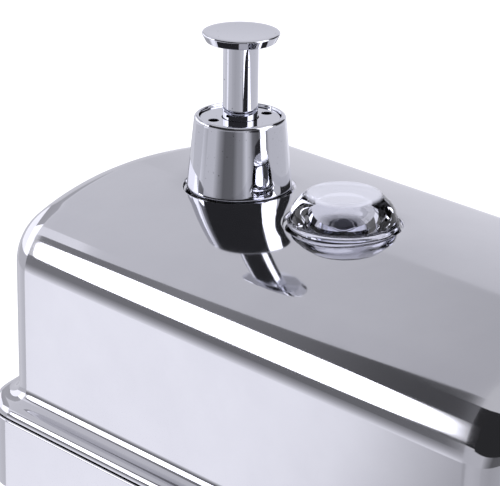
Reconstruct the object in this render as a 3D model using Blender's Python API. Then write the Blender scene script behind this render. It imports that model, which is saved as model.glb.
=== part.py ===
"""Wall mounted soap dispenser: a drawn steel tank with a push pump, a sight window and a locked lid.

Frame: metres, +Z up. The origin is on the wall, at the middle of the wall bracket's back. The room is
at -Y, and +X is to the right of someone who faces the wall.
"""
import math

import bmesh
import bpy
from mathutils import Vector

# Tank, outside sizes
DEPTH = 0.0850                # wall to the highest line of the bowed front
HALF_WIDTH = 0.0572           # front tier, without the ledge
HALF_HEIGHT = 0.1030
END_BOW_RADIUS = 0.1530       # the two ends are bowed outwards
CORNER_RADIUS = 0.0105        # corners seen from the front
CROWN_RADIUS = 0.2360         # the front is bowed across its width
LONG_EDGE = 0.0145            # rounding where the front meets the sides
END_EDGE = 0.0105             # rounding where the front meets the ends
INNER_CORNER = 0.0040         # corner radius left where the rounding ends
SHEET = 0.0010
GAP = 0.0003                  # clearance between neighbouring pieces

# Ledge, bead and rear tier, as distances outwards from the front tier and back from the front
LEDGE_DEPTH = 0.0605
LEDGE_FILLET = 0.0024
BEAD_WIDTH = 0.0072
BEAD_RADIUS = 0.0026
REAR_WIDTH = 0.0078
REAR_EDGE = 0.0012
REAR_FLANGE = 0.0025
SKIRT_GAP = 0.0004            # the skirt stops just short of the wall
BACK_PLATE_Y = -0.0070

# Pump, heights above the front along its own axis
PUMP_Z = -0.0580
SEAT_DEPTH = 0.0016
PUMP_SEAT_RADIUS = 0.01605
PUMP_HOLE_RADIUS = 0.0090
BUTTON_RADIUS = 0.0110
BUTTON_TOP = 0.0451
BUTTON_UNDERSIDE = 0.0424
STEM_RADIUS = 0.0050
STEM_INNER_END = -0.0077
COLLAR_BASE_RADIUS = 0.0151
COLLAR_RIM_RADIUS = 0.0131
COLLAR_TOP = 0.0209
RIM_HEIGHT = 0.0195           # where the collar's side ends
PORT_RADIUS = 0.0036
GLAND_TOP = 0.0202
GLAND_RADIUS = 0.0114
GLAND_BOTTOM = 0.0145
SPANNER_HOLE_RADIUS = 0.00155
SPANNER_HOLE_CIRCLE = 0.0083
SPANNER_HOLE_TURN = math.radians(163)
CYLINDER_TOP = 0.0120
CYLINDER_END = -0.0460
CYLINDER_BORE = 0.0070
CYLINDER_RADIUS = 0.0086
OUTLET_HEIGHT = 0.0070
PISTON_FRONT = -0.0080
PISTON_BACK = -0.0140
SPRING_END = -0.0420
SPRING_RADIUS = 0.0056
SPRING_WIRE = 0.0004
SPRING_TURNS = 5
TUBE_RADIUS = 0.0036
TUBE_START = -0.0500
TUBE_STRAIGHT = 0.0080
TUBE_BEND = 0.0100
TUBE_LOWEST = -0.0980

# Sight window
WINDOW_Z = -0.0160
WINDOW_SEAT_RADIUS = 0.0166
WINDOW_HOLE_RADIUS = 0.0109
LENS_FLANGE = 0.0154
LENS_TOP = 0.0086
LENS_TOP_RADIUS = 0.0090
LENS_SHOULDER = 0.0026
LENS_STEM = 0.0106
LENS_BORE = 0.0070
LENS_END = -0.0090

# Filler lid, lock and hinge; heights are above the middle of the tank's top
LID_HALF_WIDTH = 0.0350
LID_BACK_Y = -0.0358
LID_FRONT_Y = -0.0730
LID_SHEET_LOW = 0.0019
LID_SHEET_HIGH = 0.0029
LID_CORNER = 0.0050
MOUTH_HALF_WIDTH = 0.0300
MOUTH_BACK_Y = -0.0410
MOUTH_FRONT_Y = -0.0680
SEAL_WIDTH = 0.0030
HINGE_Y = -0.0330
HINGE_HEIGHT = 0.0029
HINGE_PIN_RADIUS = 0.0012
KNUCKLE_RADIUS = 0.0024
KNUCKLE_HALF = 0.0050
HINGE_HALF = 0.0120
LEAF_REACH = 0.0055           # from the pin back to the leaf's end
LOCK_Y = -0.0580
LOCK_BARREL = 0.0060
LOCK_HEAD = 0.0080
LOCK_HEAD_HEIGHT = 0.0020
LOCK_END = -0.0026
LOCK_PLUG = 0.0032
KEYWAY_HALF_LENGTH = 0.0021
KEYWAY_HALF_WIDTH = 0.0005
TANG_RADIUS = 0.0020
TANG_END = -0.0044
CAM_REACH = 0.0145
CAM_HALF_WIDTH = 0.0045
CAM_LOW = -0.0042
CAM_HIGH = -0.0032

# Wall bracket, its hanger and the screw that keeps the tank on it
BRACKET_HALF_WIDTH = 0.0320
BRACKET_SHEET = 0.0012
BRACKET_TOP = 0.0700
BRACKET_BOTTOM = -0.0960
HOOK_Z = 0.0350
HOOK_HALF_WIDTH = 0.0250
HOOK_FRONT_Y = -0.0048
HOOK_LIP = 0.0060             # height of the hook's lip
HANGER_HALF_WIDTH = 0.0220
HANGER_SHEET = 0.0014
HANGER_SHELF = 0.0110         # above the hook
HANGER_FOOT = 0.0100          # height of the part that lies on the back plate
TAB_HALF_WIDTH = 0.0070
TAB_FRONT_Y = -0.0057
WALL_SCREW_RADIUS = 0.0026
WALL_SCREW_X = 0.0220
WALL_SCREW_LOW = -0.0700
WALL_SCREW_HIGH = 0.0570
SCREW_Y = -0.0033
SCREW_RADIUS = 0.0013
SCREW_HEAD = 0.0026
SCREW_HEAD_HEIGHT = 0.0022
OVERLAP = 0.0002              # how far a joined-on shape runs into its neighbour

ARCH_STEPS = 6
CORNER_STEPS = 4
FACE_Y = -DEPTH
TANK_TOP = HALF_HEIGHT


def clear_scene():
    for thing in list(bpy.data.objects):
        bpy.data.objects.remove(thing, do_unlink=True)


def make_material(name, colour, roughness, metallic):
    material = bpy.data.materials.new(name)
    material.use_nodes = True
    shader = material.node_tree.nodes["Principled BSDF"]
    shader.inputs["Base Color"].default_value = (*colour, 1.0)
    shader.inputs["Roughness"].default_value = roughness
    shader.inputs["Metallic"].default_value = metallic
    return material


def steps(start, stop, count):
    """Evenly spaced values from start to stop, both included."""
    return [start + (stop - start) * i / count for i in range(count + 1)]


def link(obj, material, parent=None):
    bpy.context.scene.collection.objects.link(obj)
    obj.data.materials.append(material)
    obj.parent = parent
    return obj


def place(name, mesh, material, parent=None, location=(0, 0, 0), rotation=(0, 0, 0)):
    """Turns a bmesh into an object, smooth but for its sharp edges."""
    data = bpy.data.meshes.new(name)
    mesh.to_mesh(data)
    mesh.free()
    data.shade_smooth()
    data.set_sharp_from_angle(angle=math.radians(35))
    obj = link(bpy.data.objects.new(name, data), material, parent)
    obj.location = location
    obj.rotation_euler = rotation
    return obj


def empty(name, location, rotation=(0, 0, 0)):
    axis = bpy.data.objects.new(name, None)
    bpy.context.scene.collection.objects.link(axis)
    axis.location = location
    axis.rotation_euler = rotation
    return axis


def combine(target, tool, operation):
    """Cuts the tool from the target or joins it on, and leaves the tool as a guide."""
    modifier = target.modifiers.new(tool.name, "BOOLEAN")
    modifier.operation = operation
    modifier.solver = "EXACT"
    modifier.object = tool
    tool.hide_render = True
    tool.display_type = "WIRE"


def turned(profile, count, closed=True):
    """Spins a profile of (radius, height) points about Z; an open one starts and ends on the axis."""
    mesh = bmesh.new()
    verts = [mesh.verts.new((radius, 0, height)) for radius, height in profile]
    edges = [mesh.edges.new(pair) for pair in zip(verts, verts[1:])]
    if closed:
        edges.append(mesh.edges.new((verts[-1], verts[0])))
    bmesh.ops.spin(mesh, geom=verts + edges, cent=(0, 0, 0), axis=(0, 0, 1), angle=math.tau,
                   steps=count, use_merge=True)
    bmesh.ops.remove_doubles(mesh, verts=mesh.verts, dist=1e-6)
    bmesh.ops.recalc_face_normals(mesh, faces=mesh.faces)
    return mesh


def rod(radius, low, high, count=24):
    return turned([(0, low), (radius, low), (radius, high), (0, high)], count, closed=False)


def tube(bore, radius, low, high, count=24):
    return turned([(bore, low), (radius, low), (radius, high), (bore, high)], count)


def box(low, high):
    mesh = bmesh.new()
    bmesh.ops.create_cube(mesh, size=1.0)
    low = Vector(low)
    high = Vector(high)
    bmesh.ops.scale(mesh, vec=high - low, verts=mesh.verts)
    bmesh.ops.translate(mesh, vec=(high + low) / 2, verts=mesh.verts)
    return mesh


def extruded(points, offset):
    """Pushes a flat outline along an offset into a closed solid."""
    mesh = bmesh.new()
    face = mesh.faces.new([mesh.verts.new(point) for point in points])
    grown = bmesh.ops.extrude_face_region(mesh, geom=[face])
    moved = [item for item in grown["geom"] if isinstance(item, bmesh.types.BMVert)]
    bmesh.ops.translate(mesh, vec=offset, verts=moved)
    bmesh.ops.recalc_face_normals(mesh, faces=mesh.faces)
    return mesh


def outline(half_width, half_height, bow_radius, corner_radius):
    """Oblong with straight sides, bowed ends and round corners, as X and Z, anticlockwise from the front."""
    bow_centre = bow_radius - half_height
    corner_x = half_width - corner_radius
    rise = math.sqrt((bow_radius - corner_radius) ** 2 - corner_x ** 2)
    corner_z = bow_centre - rise
    meeting = math.atan2(corner_x, rise)
    quarter = [(bow_radius * math.sin(a), bow_centre - bow_radius * math.cos(a))
               for a in steps(0, meeting, ARCH_STEPS)]
    quarter += [(corner_x + corner_radius * math.sin(a), corner_z - corner_radius * math.cos(a))
                for a in steps(meeting, math.pi / 2, CORNER_STEPS)[1:]]
    right = quarter + [(x, -z) for x, z in reversed(quarter)]
    left = [(-x, z) for x, z in reversed(right[1:-1])]
    return right + left


def tank_outline(grow):
    """The front tier's outline, grown outwards by a distance."""
    return outline(HALF_WIDTH + grow, HALF_HEIGHT + grow, END_BOW_RADIUS + grow, CORNER_RADIUS + grow)


def loft(rings):
    """Skins rings of equal length, from the back to the front, with the outside facing out."""
    mesh = bmesh.new()
    loops = [[mesh.verts.new(point) for point in ring] for ring in rings]
    for lower, upper in zip(loops, loops[1:]):
        for i in range(len(lower)):
            j = (i + 1) % len(lower)
            mesh.faces.new((lower[i], lower[j], upper[j], upper[i]))
    bmesh.ops.remove_doubles(mesh, verts=mesh.verts, dist=1e-6)
    bmesh.ops.dissolve_degenerate(mesh, dist=1e-6, edges=mesh.edges)
    return mesh


def level_ring(grow, y):
    return [(x, y, z) for x, z in tank_outline(grow)]


def crown_drop(x):
    return CROWN_RADIUS - math.sqrt(CROWN_RADIUS ** 2 - x ** 2)


def rounding_ring(turn):
    """One ring of the rounding before the front; turn runs from 0 at the walls to 1 at the front."""
    outer = tank_outline(0)
    inner = outline(HALF_WIDTH - LONG_EDGE, HALF_HEIGHT - END_EDGE, END_BOW_RADIUS - END_EDGE,
                    INNER_CORNER)
    angle = turn * math.pi / 2
    inwards = 1 - math.cos(angle)
    ring = []
    for i, (x, z) in enumerate(outer):
        before = Vector(outer[i - 1])
        after = Vector(outer[(i + 1) % len(outer)])
        along = (after - before).normalized()
        height = END_EDGE + (LONG_EDGE - END_EDGE) * along.y ** 2
        x += (inner[i][0] - x) * inwards
        z += (inner[i][1] - z) * inwards
        ring.append((x, FACE_Y + crown_drop(x) + height * (1 - math.sin(angle)), z))
    return ring


def face_ring(part):
    """One ring of the bowed front; part runs from 1 at the rounding to 0 on the middle line."""
    return [(x * part, FACE_Y + crown_drop(x * part), z) for x, _, z in rounding_ring(1)]


def add_sheet(obj):
    """Gives a skin its sheet thickness, inwards."""
    wall = obj.modifiers.new("sheet", "SOLIDIFY")
    wall.thickness = SHEET
    wall.offset = -1
    wall.use_even_offset = True


def make_front_shell(steel, pump_axis, window_axis):
    ledge_y = FACE_Y + LEDGE_DEPTH
    fillet_y = ledge_y - LEDGE_FILLET
    bead_y = ledge_y + BEAD_RADIUS
    flat = BEAD_WIDTH - BEAD_RADIUS
    rings = [level_ring(flat + BEAD_RADIUS * math.sin(a), bead_y - BEAD_RADIUS * math.cos(a))
             for a in steps(math.pi / 2, 0, 3)]
    rings += [level_ring(LEDGE_FILLET * (1 - math.sin(a)), fillet_y + LEDGE_FILLET * math.cos(a))
              for a in steps(0, math.pi / 2, 3)]
    rings += [rounding_ring(turn) for turn in steps(0, 1, 6)]
    rings += [face_ring(part) for part in steps(1, 0, 6)[1:]]
    shell = place("front_shell", loft(rings), steel)
    add_sheet(shell)
    add_seat(shell, pump_axis, "pump", PUMP_SEAT_RADIUS, PUMP_HOLE_RADIUS)
    add_seat(shell, window_axis, "window", WINDOW_SEAT_RADIUS, WINDOW_HOLE_RADIUS)
    mouth = box((-MOUTH_HALF_WIDTH, MOUTH_FRONT_Y, TANK_TOP - 0.02),
                (MOUTH_HALF_WIDTH, MOUTH_BACK_Y, TANK_TOP + 0.01))
    upright = [edge for edge in mouth.edges if abs(edge.verts[0].co.z - edge.verts[1].co.z) > SHEET]
    bmesh.ops.bevel(mouth, geom=upright, offset=LID_CORNER, segments=3, affect="EDGES", profile=0.5,
                    material=-1)
    combine(shell, place("mouth_cutter", mouth, steel), "DIFFERENCE")
    return shell


def add_seat(shell, axis, name, seat_radius, hole_radius):
    """Presses a flat round seat into the bowed front and pierces it."""
    floor = -SEAT_DEPTH
    steel = shell.active_material
    rim = -0.00075
    cup = place(name + "_seat_cup", rod(seat_radius + SHEET, floor - SHEET, rim, 40), steel, axis)
    pocket = place(name + "_seat_pocket", rod(seat_radius, floor, 0.005, 40), steel, axis)
    hole = place(name + "_seat_hole", rod(hole_radius, -0.005, 0.002, 32), steel, axis)
    combine(shell, cup, "UNION")
    combine(shell, pocket, "DIFFERENCE")
    combine(shell, hole, "DIFFERENCE")


def make_rear_shell(steel):
    """The rear tier: a flange behind the ledge, a rounded edge and a skirt that reaches back to the wall."""
    front_y = FACE_Y + LEDGE_DEPTH + BEAD_RADIUS + GAP
    edge_y = front_y + REAR_EDGE
    rings = [level_ring(REAR_WIDTH, -SKIRT_GAP)]
    rings += [level_ring(REAR_WIDTH - REAR_EDGE * (1 - math.cos(a)), edge_y - REAR_EDGE * math.sin(a))
              for a in steps(0, math.pi / 2, 2)]
    rings.append(level_ring(REAR_FLANGE, front_y))
    shell = place("rear_shell", loft(rings), steel)
    add_sheet(shell)
    bottom = -(HALF_HEIGHT + REAR_WIDTH)
    hole = place("fixing_hole", rod(SCREW_RADIUS + GAP, bottom - 0.003, bottom + 0.003, 16), steel,
                 location=(0, SCREW_Y, 0))
    combine(shell, hole, "DIFFERENCE")


def make_back_plate(steel):
    """The flat panel that closes the tank behind, inside the skirt."""
    points = level_ring(REAR_WIDTH - SHEET - GAP, BACK_PLATE_Y)
    place("back_plate", extruded(points, (0, SHEET, 0)), steel)


def make_hanger(steel):
    """A bent strip on the back plate whose leg drops into the bracket's channel."""
    back = BACK_PLATE_Y + SHEET
    leg_back = -BRACKET_SHEET - 0.0005
    leg_front = leg_back - HANGER_SHEET
    foot_front = back + GAP
    foot_back = foot_front + BRACKET_SHEET
    leg_end = HOOK_Z + BRACKET_SHEET + GAP
    shelf = HOOK_Z + HANGER_SHELF
    foot_top = shelf + HANGER_FOOT
    profile = [(leg_back, leg_end), (leg_back, shelf + BRACKET_SHEET), (foot_back, shelf + BRACKET_SHEET),
               (foot_back, foot_top), (foot_front, foot_top), (foot_front, shelf), (leg_front, shelf),
               (leg_front, leg_end)]
    points = [(-HANGER_HALF_WIDTH, y, z) for y, z in profile]
    place("hanger_rail", extruded(points, (2 * HANGER_HALF_WIDTH, 0, 0)), steel)


def make_bracket(steel):
    """The plate that is screwed to the wall, with a hook channel above and a screw tab below."""
    plate = box((-BRACKET_HALF_WIDTH, -BRACKET_SHEET, BRACKET_BOTTOM), (BRACKET_HALF_WIDTH, 0, BRACKET_TOP))
    bracket = place("wall_bracket", plate, steel)
    root = OVERLAP - BRACKET_SHEET
    lip_back = HOOK_FRONT_Y + BRACKET_SHEET
    lip_top = HOOK_Z + HOOK_LIP
    floor = HOOK_Z + BRACKET_SHEET
    lip = [(root, HOOK_Z), (HOOK_FRONT_Y, HOOK_Z), (HOOK_FRONT_Y, lip_top), (lip_back, lip_top),
           (lip_back, floor), (root, floor)]
    hook = extruded([(-HOOK_HALF_WIDTH, y, z) for y, z in lip], (2 * HOOK_HALF_WIDTH, 0, 0))
    combine(bracket, place("bracket_hook", hook, steel), "UNION")
    tab_low = BRACKET_BOTTOM + 0.0005
    tab = box((-TAB_HALF_WIDTH, TAB_FRONT_Y, tab_low), (TAB_HALF_WIDTH, root, tab_low + BRACKET_SHEET))
    combine(bracket, place("bracket_tab", tab, steel), "UNION")
    tapping = rod(SCREW_RADIUS + GAP, BRACKET_BOTTOM - 0.003, BRACKET_BOTTOM + 0.004, 16)
    combine(bracket, place("bracket_tapping", tapping, steel, location=(0, SCREW_Y, 0)), "DIFFERENCE")
    for x in (-WALL_SCREW_X, WALL_SCREW_X):
        for z in (WALL_SCREW_LOW, WALL_SCREW_HIGH):
            hole = place("bracket_screw_hole", rod(WALL_SCREW_RADIUS, -0.003, 0.003, 16), steel,
                         location=(x, 0, z), rotation=(math.pi / 2, 0, 0))
            combine(bracket, hole, "DIFFERENCE")


def make_fixing_screw(steel):
    head_top = -(HALF_HEIGHT + REAR_WIDTH) - GAP
    head_bottom = head_top - SCREW_HEAD_HEIGHT
    recess = head_bottom + 0.0012
    end = BRACKET_BOTTOM + 0.005
    profile = [(0, recess), (0.0011, recess), (0.0013, head_bottom), (SCREW_HEAD - 0.0006, head_bottom),
               (SCREW_HEAD, head_bottom + 0.0006), (SCREW_HEAD, head_top), (SCREW_RADIUS, head_top),
               (SCREW_RADIUS, end), (0, end)]
    place("fixing_screw", turned(profile, 16, closed=False), steel, location=(0, SCREW_Y, 0))


def collar_radius(height):
    """The collar narrows towards its rim, slowly at first."""
    return COLLAR_BASE_RADIUS - (COLLAR_BASE_RADIUS - COLLAR_RIM_RADIUS) * (height / RIM_HEIGHT) ** 1.6


def make_collar(chrome, axis):
    base = -SEAT_DEPTH + 0.0010
    pocket = GLAND_RADIUS + GAP
    bore = CYLINDER_RADIUS + GAP
    profile = [(bore, base), (COLLAR_BASE_RADIUS - 0.0004, base), (COLLAR_BASE_RADIUS, base + 0.0004)]
    profile += [(collar_radius(height), height) for height in steps(0.003, RIM_HEIGHT, 4)]
    profile += [(0.0127, 0.0204), (0.0122, COLLAR_TOP), (0.0119, COLLAR_TOP),
                (pocket, COLLAR_TOP - 0.0002), (pocket, GLAND_BOTTOM - GAP), (bore, GLAND_BOTTOM - GAP)]
    collar = place("pump_collar", turned(profile, 36), chrome, axis)
    port = place("collar_port", rod(PORT_RADIUS, 0.006, 0.020, 20), chrome, axis, (0, 0, OUTLET_HEIGHT),
                 (math.pi / 2, 0, 0))
    combine(collar, port, "DIFFERENCE")


def make_outlet_bush(chrome, axis):
    """The short spout bush, flush with the collar's underside."""
    inner = CYLINDER_RADIUS + 0.0006
    outer = collar_radius(OUTLET_HEIGHT) + 0.0003
    edge = PORT_RADIUS - GAP
    profile = [(0.0018, inner), (edge, inner), (edge, outer - 0.0004), (edge - 0.0003, outer),
               (0.0021, outer), (0.0018, outer - 0.0003)]
    place("outlet_bush", turned(profile, 20), chrome, axis, (0, 0, OUTLET_HEIGHT), (math.pi / 2, 0, 0))


def make_gland(chrome, rubber, axis):
    bore = STEM_RADIUS + GAP
    gland = place("gland_plug", tube(bore, GLAND_RADIUS, GLAND_BOTTOM, GLAND_TOP, 32), chrome, axis)
    for side in (1, -1):
        x = side * SPANNER_HOLE_CIRCLE * math.cos(SPANNER_HOLE_TURN)
        y = side * SPANNER_HOLE_CIRCLE * math.sin(SPANNER_HOLE_TURN)
        hole = place("spanner_hole", rod(SPANNER_HOLE_RADIUS, GLAND_TOP - 0.003, GLAND_TOP + 0.003, 16),
                     chrome, axis, (x, y, 0))
        combine(gland, hole, "DIFFERENCE")
    seal = tube(bore, CYLINDER_RADIUS, CYLINDER_TOP + GAP, GLAND_BOTTOM - GAP)
    place("stem_seal", seal, rubber, axis)


def make_pump_fixings(chrome, rubber, axis):
    bore = CYLINDER_RADIUS + GAP
    seat = -SEAT_DEPTH
    inside = seat - SHEET
    gasket = tube(PUMP_HOLE_RADIUS, COLLAR_BASE_RADIUS - 0.0006, seat + GAP, seat + 0.0007, 32)
    place("collar_gasket", gasket, rubber, axis)
    place("pump_washer", tube(bore, 0.0135, inside - 0.0013, inside - GAP, 32), rubber, axis)
    hex_nut("pump_nut", 0.0130, bore, inside - 0.0066, inside - 0.0016, chrome, axis)


def hex_nut(name, radius, bore, low, high, material, axis, location=(0, 0, 0)):
    mesh = bmesh.new()
    bmesh.ops.create_cone(mesh, cap_ends=True, segments=6, radius1=radius, radius2=radius, depth=high - low)
    bmesh.ops.translate(mesh, vec=(0, 0, (high + low) / 2), verts=mesh.verts)
    nut = place(name, mesh, material, axis, location)
    hole = place(name + "_bore", rod(bore, low - 0.003, high + 0.003), material, axis, location)
    combine(nut, hole, "DIFFERENCE")


def make_cylinder(plastic, axis):
    wall = tube(CYLINDER_BORE, CYLINDER_RADIUS, CYLINDER_END, CYLINDER_TOP, 28)
    cylinder = place("pump_cylinder", wall, plastic, axis)
    port = place("cylinder_port", rod(0.0016, 0.005, 0.012, 12), plastic, axis, (0, 0, OUTLET_HEIGHT),
                 (math.pi / 2, 0, 0))
    combine(cylinder, port, "DIFFERENCE")


def make_inlet(plastic, steel, tube_plastic, axis):
    """The end cap with its check ball, and the tube that drinks from the bottom of the tank."""
    seat = CYLINDER_END - 0.0010
    back = CYLINDER_END - 0.0035
    nipple_end = back - 0.0065
    profile = [(0.0030, SPRING_END - GAP), (CYLINDER_BORE - GAP, SPRING_END - GAP),
               (CYLINDER_BORE - GAP, CYLINDER_END - GAP), (CYLINDER_RADIUS, CYLINDER_END - GAP),
               (CYLINDER_RADIUS, back), (0.0024, back), (0.0024, nipple_end), (0.0013, nipple_end),
               (0.0013, seat), (0.0030, seat)]
    place("inlet_cap", turned(profile, 24), plastic, axis)
    place("inlet_ball", ball(0.0024), steel, axis, (0, 0, seat + 0.0024))
    make_suction_tube(tube_plastic)


def ball(radius):
    mesh = bmesh.new()
    bmesh.ops.create_uvsphere(mesh, u_segments=14, v_segments=9, radius=radius)
    return mesh


def make_suction_tube(plastic):
    """A clear hose, pushed over the inlet cap's nipple, that turns down to the tank's floor."""
    start_y = FACE_Y - TUBE_START
    bend_y = start_y + TUBE_STRAIGHT
    bend = [(0, bend_y + TUBE_BEND * math.sin(a), PUMP_Z - TUBE_BEND * (1 - math.cos(a)))
            for a in steps(0, math.pi / 2, 6)]
    route = [(0, start_y, PUMP_Z)] + bend + [(0, bend_y + TUBE_BEND, TUBE_LOWEST)]
    hose = wire("suction_tube", route, TUBE_RADIUS, plastic, caps=False)
    wall = hose.modifiers.new("wall", "SOLIDIFY")
    wall.thickness = 0.0009
    wall.offset = -1


def wire(name, points, radius, material, caps=True, parent=None):
    curve = bpy.data.curves.new(name, "CURVE")
    curve.dimensions = "3D"
    curve.bevel_depth = radius
    curve.bevel_resolution = 2
    curve.use_fill_caps = caps
    spline = curve.splines.new("POLY")
    spline.points.add(len(points) - 1)
    for point, place_at in zip(spline.points, points):
        point.co = (*place_at, 1.0)
    return link(bpy.data.objects.new(name, curve), material, parent)


def make_spring(steel, axis):
    """The return spring, between the piston and the inlet cap."""
    top = PISTON_BACK - GAP - SPRING_WIRE
    bottom = SPRING_END + SPRING_WIRE
    count = SPRING_TURNS * 14
    points = []
    for i in range(count + 1):
        angle = math.tau * SPRING_TURNS * i / count
        height = bottom + (top - bottom) * i / count
        points.append((SPRING_RADIUS * math.cos(angle), SPRING_RADIUS * math.sin(angle), height))
    wire("return_spring", points, SPRING_WIRE, steel, parent=axis)


def make_plunger(chrome, plastic, rubber, steel, axis):
    """Everything that goes in when the button is pressed."""
    underside = BUTTON_UNDERSIDE
    profile = [(0, underside), (0.0092, underside), (0.0107, underside + 0.0008),
               (BUTTON_RADIUS, underside + 0.0016), (BUTTON_RADIUS, BUTTON_TOP - 0.0005),
               (0.0106, BUTTON_TOP), (0.0096, BUTTON_TOP), (0, BUTTON_TOP - 0.0003)]
    place("push_button", turned(profile, 36, closed=False), chrome, axis)
    stem = [(0, 0.003), (0.0016, 0.003), (0.0016, STEM_INNER_END), (STEM_RADIUS, STEM_INNER_END),
            (STEM_RADIUS, underside - GAP), (0, underside - GAP)]
    plunger = place("plunger_stem", turned(stem, 28, closed=False), chrome, axis)
    drilling = place("stem_passage", rod(0.0012, -0.008, 0.008, 12), chrome, axis, (0, 0, 0.001),
                     (0, math.pi / 2, 0))
    combine(plunger, drilling, "DIFFERENCE")
    wide = CYLINDER_BORE - 0.0004
    core = 0.0054
    chamber = 0.0025
    passage = 0.0013
    valve_floor = PISTON_BACK + 0.0015
    groove_low = PISTON_BACK + 0.0014
    groove_high = groove_low + 0.0026
    piston = [(passage, PISTON_BACK), (wide, PISTON_BACK), (wide, groove_low), (core, groove_low),
              (core, groove_high), (wide, groove_high), (wide, PISTON_FRONT), (chamber, PISTON_FRONT),
              (chamber, valve_floor), (passage, valve_floor)]
    place("piston", turned(piston, 24), plastic, axis)
    ring = tube(core + GAP, CYLINDER_BORE - GAP, groove_low + GAP, groove_high - GAP)
    place("piston_seal", ring, rubber, axis)
    place("outlet_ball", ball(0.0020), steel, axis, (0, 0, valve_floor + 0.0019))


def lens_profile():
    """The clear window from the axis out: flat top, round shoulder, sloping side, flange, hollow stem."""
    shoulder = [(LENS_TOP_RADIUS + LENS_SHOULDER * math.sin(a), LENS_TOP - LENS_SHOULDER * (1 - math.cos(a)))
                for a in steps(0, math.radians(62), 3)]
    side = [(0.0136, 0.0020), (0.0144, 0.0012), (LENS_FLANGE - 0.0004, 0.0010), (LENS_FLANGE, 0.0004)]
    below = [(LENS_FLANGE, -0.0003), (LENS_FLANGE - 0.0003, -0.0006), (LENS_STEM, -0.0006),
             (LENS_STEM, LENS_END), (LENS_BORE, LENS_END), (LENS_BORE, 0), (0, 0.0010)]
    return [(0, LENS_TOP)] + shoulder + side + below


def make_window(clear, rubber, chrome, axis):
    seat = -SEAT_DEPTH
    inside = seat - SHEET
    place("window_lens", turned(lens_profile(), 36, closed=False), clear, axis)
    gasket = tube(WINDOW_HOLE_RADIUS, LENS_FLANGE - 0.0006, seat + GAP, seat + 0.0007, 32)
    place("window_gasket", gasket, rubber, axis)
    hex_nut("window_nut", 0.0155, WINDOW_HOLE_RADIUS, inside - 0.0050, inside - GAP, chrome, axis)


def arched_slab(half_width, back_y, front_y, low, high, corner):
    """A slab that follows the bowed top of the tank, between two heights above it."""
    centre_z = TANK_TOP - END_BOW_RADIUS
    half_angle = math.asin(half_width / END_BOW_RADIUS)
    angles = steps(-half_angle, half_angle, 8)
    upper = END_BOW_RADIUS + high
    lower = END_BOW_RADIUS + low
    points = [(upper * math.sin(a), back_y, centre_z + upper * math.cos(a)) for a in angles]
    points += [(lower * math.sin(a), back_y, centre_z + lower * math.cos(a)) for a in reversed(angles)]
    mesh = extruded(points, (0, front_y - back_y, 0))
    reach = lower * math.sin(half_angle) - SHEET
    corners = [edge for edge in mesh.edges
               if abs(edge.verts[0].co.y - edge.verts[1].co.y) < 1e-6
               and all(abs(vert.co.x) > reach for vert in edge.verts)
               and edge.calc_length() < 1.5 * (high - low)]
    bmesh.ops.bevel(mesh, geom=corners, offset=corner, segments=3, affect="EDGES", profile=0.5,
                    material=-1)
    return mesh


def make_lid(steel, rubber):
    """A pressed lid with a turned-down edge and one hinge knuckle, and the seal under it."""
    cover = arched_slab(LID_HALF_WIDTH, LID_BACK_Y, LID_FRONT_Y, GAP, LID_SHEET_HIGH, LID_CORNER)
    lid = place("filler_lid", cover, steel)
    hollow = arched_slab(LID_HALF_WIDTH - SHEET, LID_BACK_Y - SHEET, LID_FRONT_Y + SHEET, -0.003,
                         LID_SHEET_LOW, LID_CORNER - SHEET)
    combine(lid, place("lid_hollow", hollow, steel), "DIFFERENCE")
    hinge_z = TANK_TOP + HINGE_HEIGHT
    tab = box((-KNUCKLE_HALF, LID_BACK_Y - SHEET, TANK_TOP + LID_SHEET_LOW + 0.00005),
              (KNUCKLE_HALF, HINGE_Y, TANK_TOP + LID_SHEET_HIGH + OVERLAP))
    combine(lid, place("lid_tab", tab, steel), "UNION")
    on_hinge = {"location": (0, HINGE_Y, hinge_z), "rotation": (0, math.pi / 2, 0)}
    knuckle_half = KNUCKLE_HALF - 0.0001
    knuckle = place("lid_knuckle", rod(KNUCKLE_RADIUS, -knuckle_half, knuckle_half, 16), steel, **on_hinge)
    combine(lid, knuckle, "UNION")
    bore = place("lid_knuckle_bore", rod(HINGE_PIN_RADIUS + GAP, -0.008, 0.008, 16), steel, **on_hinge)
    combine(lid, bore, "DIFFERENCE")
    lock_hole = rod(LOCK_BARREL + GAP, -0.002, 0.006)
    combine(lid, place("lid_lock_hole", lock_hole, steel, location=(0, LOCK_Y, TANK_TOP)), "DIFFERENCE")
    inset = SHEET + GAP
    outer = arched_slab(LID_HALF_WIDTH - inset, LID_BACK_Y - inset, LID_FRONT_Y + inset, GAP,
                        LID_SHEET_LOW - GAP, LID_CORNER - SHEET)
    seal = place("lid_seal", outer, rubber)
    inset = SHEET + SEAL_WIDTH
    inner = arched_slab(LID_HALF_WIDTH - inset, LID_BACK_Y - inset, LID_FRONT_Y + inset, -0.002, 0.004,
                        0.002)
    combine(seal, place("lid_seal_hollow", inner, rubber), "DIFFERENCE")


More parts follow.
